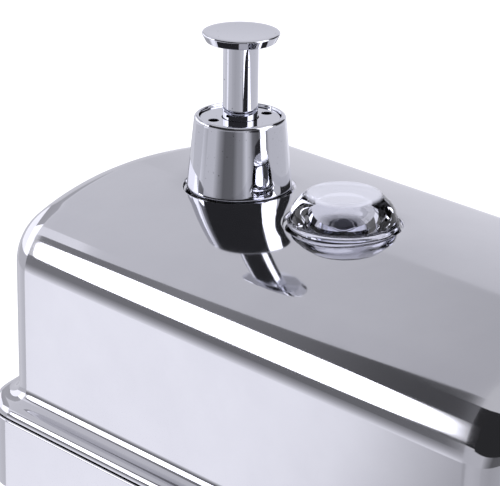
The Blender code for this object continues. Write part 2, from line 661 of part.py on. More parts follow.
def make_hinge(steel):
    hinge_z = TANK_TOP + HINGE_HEIGHT
    along_x = (0, math.pi / 2, 0)
    plate = box((-HINGE_HALF, HINGE_Y + 0.0005, TANK_TOP + GAP),
                (HINGE_HALF, HINGE_Y + LEAF_REACH, TANK_TOP + GAP + SHEET))
    leaf = place("hinge_leaf", plate, steel)
    room = KNUCKLE_HALF + GAP
    notch = box((-room, HINGE_Y - 0.003, TANK_TOP - 0.002),
                (room, HINGE_Y + KNUCKLE_RADIUS + GAP, TANK_TOP + 0.004))
    combine(leaf, place("leaf_notch", notch, steel), "DIFFERENCE")
    for side in (-1, 1):
        middle = side * (HINGE_HALF + KNUCKLE_HALF + GAP) / 2
        half = (HINGE_HALF - KNUCKLE_HALF - GAP) / 2
        knuckle = place("leaf_knuckle", rod(KNUCKLE_RADIUS, -half, half, 16), steel,
                        location=(middle, HINGE_Y, hinge_z), rotation=along_x)
        combine(leaf, knuckle, "UNION")
    on_hinge = {"location": (0, HINGE_Y, hinge_z), "rotation": along_x}
    bore = place("leaf_bore", rod(HINGE_PIN_RADIUS + GAP, -0.02, 0.02, 16), steel, **on_hinge)
    combine(leaf, bore, "DIFFERENCE")
    pin_half = HINGE_HALF + 0.0005
    place("hinge_pin", rod(HINGE_PIN_RADIUS, -pin_half, pin_half, 16), steel, **on_hinge)


def make_lock(chrome, brass, steel):
    """A cam lock through the lid; its cam swings under the front edge of the mouth."""
    axis = empty("lock_axis", (0, LOCK_Y, TANK_TOP))
    head_low = LID_SHEET_HIGH + GAP
    head_high = head_low + LOCK_HEAD_HEIGHT
    plug_bore = LOCK_PLUG + GAP
    body = [(plug_bore, LOCK_END), (LOCK_BARREL, LOCK_END), (LOCK_BARREL, head_low), (LOCK_HEAD, head_low),
            (LOCK_HEAD, head_high - 0.0006), (LOCK_HEAD - 0.0006, head_high), (plug_bore, head_high)]
    place("lock_body", turned(body, 28), chrome, axis)
    hex_nut("lock_nut", 0.0085, LOCK_BARREL + GAP, -0.0014, LID_SHEET_LOW - 0.0004, steel, axis)
    plug_low = LOCK_END - GAP
    plug = [(0, TANG_END), (TANG_RADIUS, TANG_END), (TANG_RADIUS, plug_low), (LOCK_PLUG, plug_low),
            (LOCK_PLUG, head_high), (0, head_high)]
    core = place("lock_plug", turned(plug, 20, closed=False), brass, axis)
    slot = box((-KEYWAY_HALF_LENGTH, -KEYWAY_HALF_WIDTH, 0), (KEYWAY_HALF_LENGTH, KEYWAY_HALF_WIDTH, 0.010))
    combine(core, place("keyway", slot, brass, axis), "DIFFERENCE")
    bar = box((-CAM_HALF_WIDTH, -CAM_HALF_WIDTH, CAM_LOW), (CAM_REACH, CAM_HALF_WIDTH, CAM_HIGH))
    cam = place("lock_cam", bar, steel, axis)
    cam_hole = place("cam_hole", rod(TANG_RADIUS + GAP, -0.008, 0), steel, axis)
    combine(cam, cam_hole, "DIFFERENCE")
    screw_top = TANG_END - GAP
    screw = [(0, screw_top - 0.0015), (0.0022, screw_top - 0.0015), (0.0030, screw_top - 0.0009),
             (0.0030, screw_top), (0, screw_top)]
    place("cam_screw", turned(screw, 16, closed=False), steel, axis)


def main():
    clear_scene()
    steel = make_material("polished stainless steel", (0.78, 0.78, 0.80), 0.06, 1.0)
    plain_steel = make_material("mill finish stainless steel", (0.62, 0.62, 0.63), 0.35, 1.0)
    chrome = make_material("chrome plate", (0.80, 0.80, 0.83), 0.04, 1.0)
    brass = make_material("brass", (0.75, 0.60, 0.30), 0.30, 1.0)
    clear = make_material("clear acrylic", (0.93, 0.95, 0.96), 0.03, 0.0)
    rubber = make_material("black rubber", (0.03, 0.03, 0.03), 0.70, 0.0)
    plastic = make_material("white acetal", (0.85, 0.85, 0.83), 0.40, 0.0)
    hose = make_material("clear hose", (0.80, 0.82, 0.80), 0.30, 0.0)
    out_of_face = (math.pi / 2, 0, 0)
    pump_axis = empty("pump_axis", (0, FACE_Y, PUMP_Z), out_of_face)
    window_axis = empty("window_axis", (0, FACE_Y, WINDOW_Z), out_of_face)
    make_front_shell(steel, pump_axis, window_axis)
    make_rear_shell(steel)
    make_back_plate(plain_steel)
    make_hanger(plain_steel)
    make_bracket(plain_steel)
    make_fixing_screw(plain_steel)
    make_collar(chrome, pump_axis)
    make_outlet_bush(chrome, pump_axis)
    make_gland(chrome, rubber, pump_axis)
    make_pump_fixings(chrome, rubber, pump_axis)
    make_cylinder(plastic, pump_axis)
    make_inlet(plastic, plain_steel, hose, pump_axis)
    make_spring(plain_steel, pump_axis)
    make_plunger(chrome, plastic, rubber, plain_steel, pump_axis)
    make_window(clear, rubber, chrome, window_axis)
    make_lid(steel, rubber)
    make_hinge(steel)
    make_lock(chrome, brass, plain_steel)


main()
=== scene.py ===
"""Looks of a wall mounted soap dispenser, laid out as an add-on with one operator for each piece or group of pieces.

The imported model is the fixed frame: sizes and places come from its boxes, and every piece rides on one of its bodies.
"""
import math

import bmesh
import bpy
from mathutils import Matrix, Vector


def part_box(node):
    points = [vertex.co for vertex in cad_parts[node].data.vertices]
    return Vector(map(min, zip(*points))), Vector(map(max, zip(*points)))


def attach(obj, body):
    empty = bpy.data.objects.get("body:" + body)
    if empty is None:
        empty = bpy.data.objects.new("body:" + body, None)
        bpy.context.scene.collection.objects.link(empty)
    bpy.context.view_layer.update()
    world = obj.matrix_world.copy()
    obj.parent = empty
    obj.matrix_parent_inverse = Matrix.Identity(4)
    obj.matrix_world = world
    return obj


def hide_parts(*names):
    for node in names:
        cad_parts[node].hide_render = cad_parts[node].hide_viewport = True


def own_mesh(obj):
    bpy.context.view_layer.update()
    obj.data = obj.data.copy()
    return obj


bl_info = {
    "name": "Wall Soap Dispenser",
    "version": (1, 0, 0),
    "blender": (4, 5, 0),
    "location": "3D View > Sidebar > Dispenser",
    "description": "Builds the polished steel soap dispenser, its finishes and a plain studio around it",
    "category": "Add Mesh",
}

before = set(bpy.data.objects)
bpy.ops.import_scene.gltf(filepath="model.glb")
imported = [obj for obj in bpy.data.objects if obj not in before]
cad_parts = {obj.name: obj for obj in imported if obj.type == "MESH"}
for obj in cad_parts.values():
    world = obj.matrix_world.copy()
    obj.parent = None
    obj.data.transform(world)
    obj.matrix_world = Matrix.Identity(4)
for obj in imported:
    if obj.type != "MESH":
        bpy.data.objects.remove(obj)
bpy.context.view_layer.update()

SHELL_LOW, SHELL_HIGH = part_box("front_shell")
REAR_LOW, REAR_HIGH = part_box("rear_shell")
GLAND_LOW, GLAND_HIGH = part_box("gland_plug")
COLLAR_LOW, COLLAR_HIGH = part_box("pump_collar")
BUTTON_LOW, BUTTON_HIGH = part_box("push_button")
STEM_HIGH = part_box("plunger_stem")[1]
LENS_LOW, LENS_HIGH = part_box("window_lens")
LID_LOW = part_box("filler_lid")[0]
PIN_LOW, PIN_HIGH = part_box("hinge_pin")
LOCK_LOW, LOCK_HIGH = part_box("lock_body")

# How far the ledge stands out beyond the tank's walls
BEAD_WIDTH = 0.0072
FACE_Y = SHELL_LOW.y
HALF_WIDTH = SHELL_HIGH.x - BEAD_WIDTH
HALF_HEIGHT = (SHELL_HIGH.z - SHELL_LOW.z) / 2 - BEAD_WIDTH
PUMP_Z = (GLAND_LOW.z + GLAND_HIGH.z) / 2
WINDOW_Z = (LENS_LOW.z + LENS_HIGH.z) / 2
LOCK_Y = (LOCK_LOW.y + LOCK_HIGH.y) / 2
HINGE_Y = (PIN_LOW.y + PIN_HIGH.y) / 2
HINGE_Z = (PIN_LOW.z + PIN_HIGH.z) / 2
# Play between two pieces that fit into each other
CLEAR = 0.0003
# Broken edges of turned and moulded pieces, and the finer ones of small pieces
EDGE = 0.0003
FINE_EDGE = 0.0002
# Chamfer of the big nuts, thickness of the flat gaskets, and how far these stay in from the rim above them
NUT_EDGE = 0.0004
GASKET = 0.0007
GASKET_INSET = 0.0006
# Faces that meet at more degrees than this look sharp; on thin sheet only the cut edges do
SHARP = 32
SHARP_TURNED = 40
SHARP_SHEET = 50
# Steps of a rounding, of the drawn front's long rounding, and of the front from its edge to the middle line
ROUND_STEPS = 8
LONG_STEPS = 18
FRONT_STEPS = 26
# Points closer together than this are welded
WELD = 1e-6
# How much an outline is widened to find each point's way out
OUT_STEP = 0.001

# Far cards that only shiny surfaces mirror, like the walls, lamps and dark ceiling of a studio. Each is a patch of a
# sphere round the dispenser: name, turn from and to, tilt from and to (degrees), strengths at even steps, and the way
# the strengths run. Round the tank the turn is a compass bearing; round the pump it is a turn about the pump's axis
# and the tilt is how far the card lies behind the front.
TANK_CARDS = (
    ("black_front", 22, 80, -36, 10, (0.03,), "up"),
    ("floor_sweep", -60, 80, -90, -62, (1.3,), "up"),
    ("floor_far", -180, -60, -90, -51, (0.70,), "up"),
    ("floor_near", 18, 80, -66, -50, (1.6,), "up"),
    ("floor_grey", -60, 18, -64, -50, (0.44, 0.50), "up"),
    ("side_wall", 108, 180, -51, -35, (1.06, 1.08, 1.10, 1.10, 1.10, 1.08, 0.98, 0.66, 0.35), "up"),
    ("side_fade", 91, 110, -51, -36, (0.22, 0.34, 0.50, 0.72, 0.98), "across"),
    ("side_gap", 76, 91.5, -51, -36, (0.26, 0.20, 0.16), "up"),
    ("far_wall", -150, -58, -51, -15, (0.98, 0.90, 0.66), "across"),
    ("far_fade", -58, 48, -51, -35.8, (0.78, 0.70, 0.65, 0.59, 0.50), "up"),
    ("back_low", -180, -112, -60, -25, (0.42,), "up"),
    ("kicker", 23, 40, -51, -46.5, (0.95,), "up"),
    ("flag", 39, 49, -48.5, -35.9, (0.26, 0.22, 0.26, 0.18, 0.10, 0.07), "lean"),
    ("strip_lamp", 47.2, 79.5, -48.6, -36.2, (3.0,), "round"),
)
PUMP_CARDS = (
    ("stem_side", -110, -12, 13, 45, (0.85, 0.66, 0.54), "across"),
    ("stem_front", -12, 61, 13, 45, (0.50, 0.44, 0.48, 0.64), "across"),
    ("stem_line", 61, 65, 13, 45, (0.06,), "across"),
    ("stem_lamp", 65, 84, 13, 45, (2.4,), "across"),
    ("stem_shade", 84, 93, 13, 45, (0.06,), "across"),
    ("stem_far", 93, 248, 13, 45, (0.60, 0.64, 0.72, 1.00), "across"),
    ("ring_side", -110, -12, -6, 13, (0.60, 0.58), "across"),
    ("ring_ramp", -12, 10, -6, 13, (0.55, 0.30, 0.14), "across"),
    ("ring_flag", 10, 32, -6, 13, (0.13, 0.14), "across"),
    ("ring_edge", 32, 62, -6, 13, (0.14, 0.28, 0.32, 0.67), "across"),
    ("ring_top", 62, 93, -6, 13, (0.67, 0.50, 0.18, 0.14, 0.10), "across"),
    ("ring_back", 93, 120, -6, 13, (0.20, 0.30, 0.16, 0.57), "across"),
    ("ring_far", 120, 225, -6, 13, (0.57, 0.58, 0.60, 0.75, 0.85), "across"),
    ("ring_low", 225, 248, -6, 13, (1.4,), "across"),
    ("black_near", -34, 97, -62, -6, (0.03,), "up"),
    ("black_far", 148, 197, -45, -6, (0.03,), "up"),
    ("lamp", 98, 156, -52, 13, (2.4,), "taper"),
)
CARD_TINT = (0.96, 0.96, 1.04)
# Distance of the farthest card, and how much nearer each next one hangs
CARD_REACH = 9.0
CARD_GAP = 0.1
# Degrees that a leaning card's left edge swings out, and how a leaning and a tapering edge bend
LEAN = 32
LEAN_BEND = 1.8
TAPER_BEND = 0.6
# How square a round card is, across and up
SQUARE_ACROSS = 0.45
SQUARE_UP = 0.6

# Turns a lathe's upright axis to point out of the front face
OUT_OF_FACE = Matrix.Rotation(math.pi / 2, 4, "X")


def length(name, description, default):
    """A length that a user can change."""
    return bpy.props.FloatProperty(name=name, description=description, default=default, unit="LENGTH")


class TankSizes(bpy.types.PropertyGroup):
    """Shape of the drawn tank."""

    bow_radius: length("End bow", "Radius of the bowed ends", 0.153)
    corner_radius: length("Corner", "Corner radius seen from the front", 0.0105)
    crown_radius: length("Crown", "Radius of the bowed front, across its width", 0.236)
    long_edge: length("Long edge", "Rounding between the front and the sides", 0.0145)
    end_edge: length("End edge", "Rounding between the front and the ends", 0.0105)
    inner_corner: length("Inner corner", "Corner radius where the rounding ends", 0.004)
    ledge_depth: length("Ledge depth", "From the front back to the ledge", 0.0599)
    fillet: length("Ledge fillet", "Hollow rounding between wall and ledge", 0.0042)
    bead: length("Bead", "Rounding of the ledge's outer edge", 0.0030)
    sheet: length("Sheet", "Thickness of the steel", 0.0008)
    seat_depth: length("Seat depth", "How far the round seats are pressed in", 0.0016)
    seat_lip: length("Seat lip", "Rounding at the rim of a seat", 0.0005)
    pump_seat: length("Pump seat", "Radius of the seat under the collar", 0.01605)
    window_seat: length("Window seat", "Radius of the seat under the window", 0.0166)
    pump_hole: length("Pump hole", "Radius of the hole for the pump", 0.0090)
    window_hole: length("Window hole", "Radius of the hole for the window", 0.0109)
    rear_edge: length("Rear edge", "Rounding of the rear tier's front edge", 0.0006)
    rear_flange: length("Rear flange", "How far in the rear tier's flange reaches", 0.0025)
    mouth_half_width: length("Mouth, half width", "Half the filler mouth's width", 0.030)
    mouth_back: length("Mouth back", "Where the filler mouth ends behind", -0.041)
    mouth_front: length("Mouth front", "Where the filler mouth ends in front", -0.068)


class PumpSizes(bpy.types.PropertyGroup):
    """Sizes of the pump that its outer box doesn't give; heights are above the tank's front."""

    rim_radius: length("Rim radius", "Radius of the collar at its rim", 0.0131)
    rim_height: length("Rim height", "Where the collar's side ends", 0.0195)
    rim_round: length("Rim rounding", "Rounding of the collar's rim", 0.00105)
    side_bow: bpy.props.FloatProperty(
        name="Side bow", description="How late the collar's side curves in", default=1.0)
    stem: length("Stem", "Radius of the stem", 0.005)
    button_round: length("Button rounding", "Rounding of the button's upper edge", 0.0005)
    spanner_hole: length("Spanner hole", "Radius of the two holes in the gland", 0.00155)
    spanner_circle: length("Spanner circle", "Radius that the two holes lie on", 0.0083)
    spanner_turn: bpy.props.FloatProperty(
        name="Spanner turn", description="Where the two holes lie round the stem, in degrees", default=163.0)
    outlet: length("Outlet height", "Height of the outlet's middle", 0.007)
    port: length("Port", "Radius of the collar's opening for the outlet", 0.0036)
    cylinder: length("Cylinder", "Outer radius of the cylinder", 0.0086)
    cylinder_top: length("Cylinder top", "Height of the cylinder's end in the collar", 0.012)
    bore: length("Bore", "Radius of the cylinder's bore", 0.007)
    spring: length("Spring", "Radius of the spring's coils", 0.0056)
    spring_wire: length("Spring wire", "Radius of the spring's wire", 0.0004)
    spring_turns: bpy.props.IntProperty(name="Spring turns", description="Number of coils", default=5)
    hose: length("Hose", "Outer radius of the suction hose", 0.0036)
    hose_wall: length("Hose wall", "Wall of the suction hose", 0.0009)
    hose_bend: length("Hose bend", "Radius of the hose's bend", 0.010)


class WindowSizes(bpy.types.PropertyGroup):
    """Sizes of the sight window that its outer box doesn't give."""

    top_radius: length("Top", "Radius of the flat top", 0.009)
    foot: length("Foot", "Radius of the dome where it meets the flange", 0.0147)
    bulge: length("Bulge", "How far the dome's side bulges out", 0.0008)
    shoulder: length("Shoulder", "Rounding round the flat top", 0.0026)
    stem: length("Stem", "Radius of the threaded stem", 0.0106)
    bore: length("Bore", "Radius of the hollow behind the window", 0.007)
    thread: length("Thread", "Depth of the stem's thread", 0.0004)


class LidSizes(bpy.types.PropertyGroup):
    """Sizes of the filler lid, its hinge and its lock; heights are above the middle of the tank's top."""

    half_width: length("Half width", "Half the lid's width along the bowed top", 0.035)
    back: length("Back", "Where the lid ends behind", -0.0358)
    corner: length("Corner", "Corner radius seen from above", 0.005)
    rounding: length("Rounding", "Rounding of the turned-down edge", 0.0012)
    height: length("Height", "Height of the lid's upper side", 0.0029)
    knuckle: length("Knuckle", "Radius of the hinge's knuckles", 0.0024)
    knuckle_half: length("Knuckle, half length", "Half the middle knuckle's length", 0.005)
    pin: length("Pin", "Radius of the hinge pin", 0.0012)
    lock_barrel: length("Lock barrel", "Radius of the lock's barrel", 0.006)
    lock_head: length("Lock head", "Height of the lock's head", 0.002)
    lock_core: length("Lock core", "Radius of the brass core", 0.0032)
    lock_tang: length("Lock tang", "Radius of the core's end behind", 0.002)


def from_hex(code):
    """Turns an sRGB hex colour into Blender's linear values."""
    channels = [int(code[i:i + 2], 16) / 255 for i in (1, 3, 5)]
    return tuple(c / 12.92 if c <= 0.04045 else ((c + 0.055) / 1.055) ** 2.4 for c in channels)


def colour(name, description, code):
    """A colour that a user can change, given as an sRGB hex code."""
    return bpy.props.FloatVectorProperty(
        name=name, description=description, default=from_hex(code), subtype="COLOR", min=0, max=1)


class Finishes(bpy.types.PropertyGroup):
    """Colours and gloss of the finishes."""

    steel: colour("Steel", "Mirror-polished stainless steel", "#E2E2E6")
    steel_dark: colour("Steel, worn", "The same steel where the polish is thinner", "#D6D6DB")
    chrome: colour("Chrome", "Bright chrome plate", "#E4E5EC")
    mill: colour("Mill steel", "Plain rolled stainless steel", "#B4B4B2")
    brass: colour("Brass", "Turned brass of the lock's core", "#C9A95A")
    acrylic: colour("Acrylic", "Clear moulded acrylic", "#F3F4FF")
    rubber: colour("Rubber", "Black nitrile rubber", "#141414")
    acetal: colour("Acetal", "White acetal of the pump", "#E6E5DF")
    hose: colour("Hose", "Clear vinyl hose", "#EEF1EC")
    steel_roughness: bpy.props.FloatProperty(
        name="Steel roughness", description="Blur of the polished steel", default=0.035, subtype="FACTOR")
    chrome_roughness: bpy.props.FloatProperty(
        name="Chrome roughness", description="Blur of the chrome plate", default=0.025, subtype="FACTOR")


class StageSettings(bpy.types.PropertyGroup):
    """Camera, floor and light."""

    place: bpy.props.FloatVectorProperty(
        name="Camera place", description="Where the camera stands", default=(0.4497, -0.3119, 0.4278),
        subtype="TRANSLATION")
    bearing: bpy.props.FloatProperty(
        name="Bearing", description="Direction the camera stands in, round from the front", default=61.57)
    tilt: bpy.props.FloatProperty(
        name="Tilt", description="Height of the camera above the object, as an angle", default=43.25)
    roll: bpy.props.FloatProperty(
        name="Roll", description="Turn about the line of sight, from the front facing up", default=0.77)
    lens: bpy.props.FloatProperty(name="Lens", description="Focal length in millimetres", default=176.4)
    floor_z: length("Floor", "Height of the floor", -0.30)
    floor_size: length("Floor size", "Half the floor's width", 12.0)
    surround: colour("Surround", "Colour of the light from all round", "#F4F4FA")
    surround_strength: bpy.props.FloatProperty(
        name="Surround strength", description="Light from all round, as dull surfaces get it", default=1.0)
    mirrored_strength: bpy.props.FloatProperty(
        name="Mirrored strength", description="The same light, as it shows in mirror images", default=0.68)


def steps(start, stop, count):
    """Evenly spaced values from start to stop, both included."""
    return [start + (stop - start) * i / count for i in range(count + 1)]


def new_object(name, mesh):
    """Turns a bmesh into an object of the scene and frees it."""
    data = bpy.data.meshes.new(name)
    mesh.to_mesh(data)
    mesh.free()
    piece = bpy.data.objects.new(name, data)
    bpy.context.scene.collection.objects.link(piece)
    return piece


def smooth(data, sharp):
    """Shades a mesh smooth but for the edges that turn by more than an angle in degrees."""
    data.shade_smooth()
    data.set_sharp_from_angle(angle=math.radians(sharp))


def finish_object(name, mesh, body, slot, nodes=(), sharp=SHARP):
    """Makes a shaded piece that rides on a body and stands for CAD nodes."""
    piece = new_object(name, mesh)
    smooth(piece.data, sharp)
    piece.data.materials.append(finish_for(slot))
    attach(piece, body)
    if nodes:
        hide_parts(*nodes)
    return piece


def add_wall(piece, thickness):
    """Gives a skin its sheet thickness, inwards."""
    wall = piece.modifiers.new("sheet", "SOLIDIFY")
    wall.thickness = thickness
    wall.offset = -1


def round_edges(piece, width, segments=3, angle=SHARP):
    """Breaks the sharp edges of a piece with a small rounding."""
    bevel = piece.modifiers.new("edges", "BEVEL")
    bevel.width = width
    bevel.segments = segments
    bevel.limit_method = "ANGLE"
    bevel.angle_limit = math.radians(angle)
    bevel.harden_normals = True
    return piece


def cut_out(piece, cutters, sharp=SHARP):
    """Cuts closed bmeshes from a piece and keeps the result as its mesh."""
    tools = []
    for mesh in cutters:
        tool = new_object("cutter", mesh)
        cut = piece.modifiers.new("cut", "BOOLEAN")
        cut.operation = "DIFFERENCE"
        cut.solver = "EXACT"
        cut.object = tool
        tools.append(tool)
    bpy.context.view_layer.update()
    evaluated = piece.evaluated_get(bpy.context.evaluated_depsgraph_get())
    result = bpy.data.meshes.new_from_object(evaluated)
    piece.modifiers.clear()
    piece.data = result
    for tool in tools:
        bpy.data.objects.remove(tool, do_unlink=True)
    smooth(result, sharp)


def softened(name, node, body, slot, width):
    """A merged copy of a flat-sided CAD node with its edges rounded."""
    mesh = bmesh.new()
    mesh.from_mesh(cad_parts[node].data)
    bmesh.ops.remove_doubles(mesh, verts=mesh.verts, dist=WELD)
    bmesh.ops.dissolve_limit(mesh, angle_limit=math.radians(1), verts=mesh.verts, edges=mesh.edges)
    return round_edges(finish_object(name, mesh, body, slot, [node]), width)


def turned(profile, count=96, closed=True):
    """Spins (radius, height) points about Z; an open profile starts and ends on the axis."""
    mesh = bmesh.new()
    verts = [mesh.verts.new((radius, 0, height)) for radius, height in profile]
    edges = [mesh.edges.new(pair) for pair in zip(verts, verts[1:])]
    if closed:
        edges.append(mesh.edges.new((verts[-1], verts[0])))
    bmesh.ops.spin(mesh, geom=verts + edges, cent=(0, 0, 0), axis=(0, 0, 1), angle=math.tau, steps=count,
                   use_merge=True)
    bmesh.ops.remove_doubles(mesh, verts=mesh.verts, dist=1e-7)
    bmesh.ops.recalc_face_normals(mesh, faces=mesh.faces)
    return mesh


def rod(radius, low, high, count=48):
    """A closed cylinder about Z."""
    mesh = bmesh.new()
    bmesh.ops.create_cone(mesh, cap_ends=True, segments=count, radius1=radius, radius2=radius, depth=high - low)
    bmesh.ops.translate(mesh, vec=(0, 0, (high + low) / 2), verts=mesh.verts)
    return mesh


def block(low, high):
    """A closed box between two corners."""
    mesh = bmesh.new()
    bmesh.ops.create_cube(mesh, size=1.0)
    low = Vector(low)
    high = Vector(high)
    bmesh.ops.scale(mesh, vec=high - low, verts=mesh.verts)
    bmesh.ops.translate(mesh, vec=(high + low) / 2, verts=mesh.verts)
    return mesh


def arc(centre, radius, start, stop, count=5):
    """Points of an arc in a profile; its angles are in degrees, from the outward direction up."""
    return [(centre[0] + radius * math.cos(math.radians(a)), centre[1] + radius * math.sin(math.radians(a)))
            for a in steps(start, stop, count)]


def ring_profile(inner, outer, low, high, edge=FINE_EDGE):
    """The section of a ring with slightly broken edges."""
    return [(inner, low), (outer - edge, low), (outer, low + edge), (outer, high - edge), (outer - edge, high),
            (inner, high)]


def tank_sizes(tank):
    """The outline that the tank's walls are drawn from."""
    return HALF_WIDTH, HALF_HEIGHT, tank.bow_radius, tank.corner_radius


def face_out(mesh):
    """Turns a front-facing skin's normals towards the room."""
    bmesh.ops.recalc_face_normals(mesh, faces=mesh.faces)
    front = min(mesh.faces, key=lambda face: face.calc_center_median().y)
    if front.normal.y > 0:
        bmesh.ops.reverse_faces(mesh, faces=mesh.faces)


def collar_radius(pump, height):
    """Radius of the collar at a height; it narrows from its foot to its rim."""
    base = COLLAR_HIGH.x
    return base - (base - pump.rim_radius) * (max(height, 0) / pump.rim_height) ** pump.side_bow


def heights(node):
    """Lowest and highest points of a pump piece, above the tank's front."""
    low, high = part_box(node)
    return FACE_Y - high.y, FACE_Y - low.y


def turn_ring(name, node, inner, outer, low, high, body="tank"):
    """A rubber ring on the pump's axis."""
    edge = min(FINE_EDGE, (high - low) / 3)
    mesh = on_pump(turned(ring_profile(inner, outer, low, high, edge)))
    return finish_object(name, mesh, body, "seal_rubber", [node])


def valve_ball(name, node, body):
    """A steel ball in the place of a CAD node."""
    low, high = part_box(node)
    mesh = bmesh.new()
    bmesh.ops.create_uvsphere(mesh, u_segments=32, v_segments=16, radius=(high.y - low.y) / 2)
    bmesh.ops.translate(mesh, vec=(low + high) / 2, verts=mesh.verts)
    return finish_object(name, mesh, body, "mill_steel", [node])


def wind_spring(pump):
    """Winds the return spring with an even pitch."""
    low, high = heights("return_spring")
    wire = pump.spring_wire
    rise = high - low - 2 * wire
    mesh = bmesh.new()
    bmesh.ops.create_circle(mesh, segments=12, radius=wire)
    bmesh.ops.rotate(mesh, cent=(0, 0, 0), matrix=Matrix.Rotation(math.pi / 2, 3, "X"), verts=mesh.verts)
    bmesh.ops.translate(mesh, vec=(pump.spring, 0, low + wire), verts=mesh.verts)
    bmesh.ops.holes_fill(mesh, edges=mesh.edges)
    count = pump.spring_turns * 48
    bmesh.ops.spin(mesh, geom=mesh.faces[:], cent=(0, 0, 0), axis=(0, 0, 1), dvec=(0, 0, rise / count),
                   angle=math.tau * pump.spring_turns, steps=count)
    bmesh.ops.recalc_face_normals(mesh, faces=mesh.faces)
    spring = finish_object("spring", on_pump(mesh), "tank", "mill_steel", ["return_spring"])
    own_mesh(spring)


def lay_hose(pump):
    """The clear suction hose: straight off the inlet, round a bend and down to the tank's floor."""
    low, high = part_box("suction_tube")
    bend = pump.hose_bend
    mesh = bmesh.new()
    bmesh.ops.create_circle(mesh, segments=48, radius=pump.hose)
    bmesh.ops.translate(mesh, vec=(0, high.y - pump.hose, low.z), verts=mesh.verts)
    straight = PUMP_Z - bend - low.z
    swept = bmesh.ops.spin(mesh, geom=mesh.edges[:], cent=(0, 0, 0), axis=(1, 0, 0), dvec=(0, 0, straight / 8),
                           angle=0, steps=8)
    swept = bmesh.ops.spin(mesh, geom=last_of(swept, bmesh.types.BMEdge), axis=(1, 0, 0), angle=math.pi / 2,
                           cent=(0, high.y - pump.hose - bend, PUMP_Z - bend), steps=20)
    start = high.y - pump.hose - bend - low.y
    bmesh.ops.spin(mesh, geom=last_of(swept, bmesh.types.BMEdge), cent=(0, 0, 0), axis=(1, 0, 0),
                   dvec=(0, -start / 4, 0), angle=0, steps=4)
    bmesh.ops.recalc_face_normals(mesh, faces=mesh.faces)
    hose = finish_object("hose", mesh, "tank", "clear_hose", ["suction_tube"])
    add_wall(hose, pump.hose_wall)


def last_of(swept, kind):
    """The points or edges that a spin ends in."""
    return [item for item in swept["geom_last"] if isinstance(item, kind)]


def extruded(mesh, ring):
    """Extrudes a ring of edges where it stands, and gives the new edges and their points."""
    grown = bmesh.ops.extrude_edge_only(mesh, edges=ring)["geom"]
    return ([item for item in grown if isinstance(item, bmesh.types.BMEdge)],
            [item for item in grown if isinstance(item, bmesh.types.BMVert)])


def press_cover(lid, tank):
    """The lid's skin: drawn flat from a round-cornered oblong, then bent onto the bowed top."""
    half_depth = (lid.back - LID_LOW.y) / 2
    middle = lid.back - half_depth
    flat_end = 5.0
    inner = (half_depth - lid.rounding, lid.half_width - lid.rounding, flat_end, lid.corner - lid.rounding)
    cover = Pressing((half_depth, lid.half_width, flat_end, lid.corner), inner)
    cover.level(0, -CLEAR)
    for angle in steps(0, math.pi / 2, ROUND_STEPS):
        height = lid.height - lid.rounding * (1 - math.sin(angle))

        def move(base, out, near, inwards=1 - math.cos(angle), height=height):
            return Vector((base.x + (near.x - base.x) * inwards, -height, base.z + (near.z - base.z) * inwards))

        cover.draw(move)
    for part in steps(1, 0, 12)[1:]:

        def move(base, out, near, part=part):
            return Vector((near.x * part, -lid.height, near.z))

        cover.draw(move)
    mesh = cover.close()
    for vert in mesh.verts:
        across, height, along = vert.co.x, -vert.co.y, vert.co.z
        reach = tank.bow_radius + height
        turn = along / tank.bow_radius
        vert.co = (reach * math.sin(turn), middle + across,
                   HALF_HEIGHT - tank.bow_radius + reach * math.cos(turn))
    bmesh.ops.recalc_face_normals(mesh, faces=mesh.faces)
    highest = max(mesh.faces, key=lambda face: face.calc_center_median().z)
    if highest.normal.z < 0:
        bmesh.ops.reverse_faces(mesh, faces=mesh.faces)
    return mesh


def on_hinge(mesh):
    """Moves a piece made about Z onto the hinge's axis."""
    mesh.transform(Matrix.Translation((0, HINGE_Y, HINGE_Z)) @ Matrix.Rotation(math.pi / 2, 4, "Y"))
    return mesh


def on_lock(mesh):
    """Moves a piece made about Z onto the lock's axis, heights above the middle of the tank's top."""
    mesh.transform(Matrix.Translation((0, LOCK_Y, HALF_HEIGHT)))
    return mesh


def hinge_tube(name, body, lid, left, right):
    """A knuckle of the hinge, rolled round its pin."""
    profile = ring_profile(lid.pin + CLEAR, lid.knuckle, left, right)
    return finish_object(name, on_hinge(turned(profile, 48)), body, "polished_steel")


def on_pump(mesh):
    """Moves a piece made about Z onto the pump's axis, its top facing out of the tank's front."""
    mesh.transform(Matrix.Translation((0, FACE_Y, PUMP_Z)) @ OUT_OF_FACE)
    return mesh


def on_outlet(mesh, pump):
    """Moves a piece made about Z onto the outlet's axis, which runs down through the collar's side."""
    mesh.transform(Matrix.Translation((0, 0, pump.outlet)) @ OUT_OF_FACE)
    return on_pump(mesh)


def on_window(mesh):
    """Moves a piece made about Z onto the window's axis, its top facing out of the tank's front."""
    mesh.transform(Matrix.Translation((0, FACE_Y, WINDOW_Z)) @ OUT_OF_FACE)
    return mesh


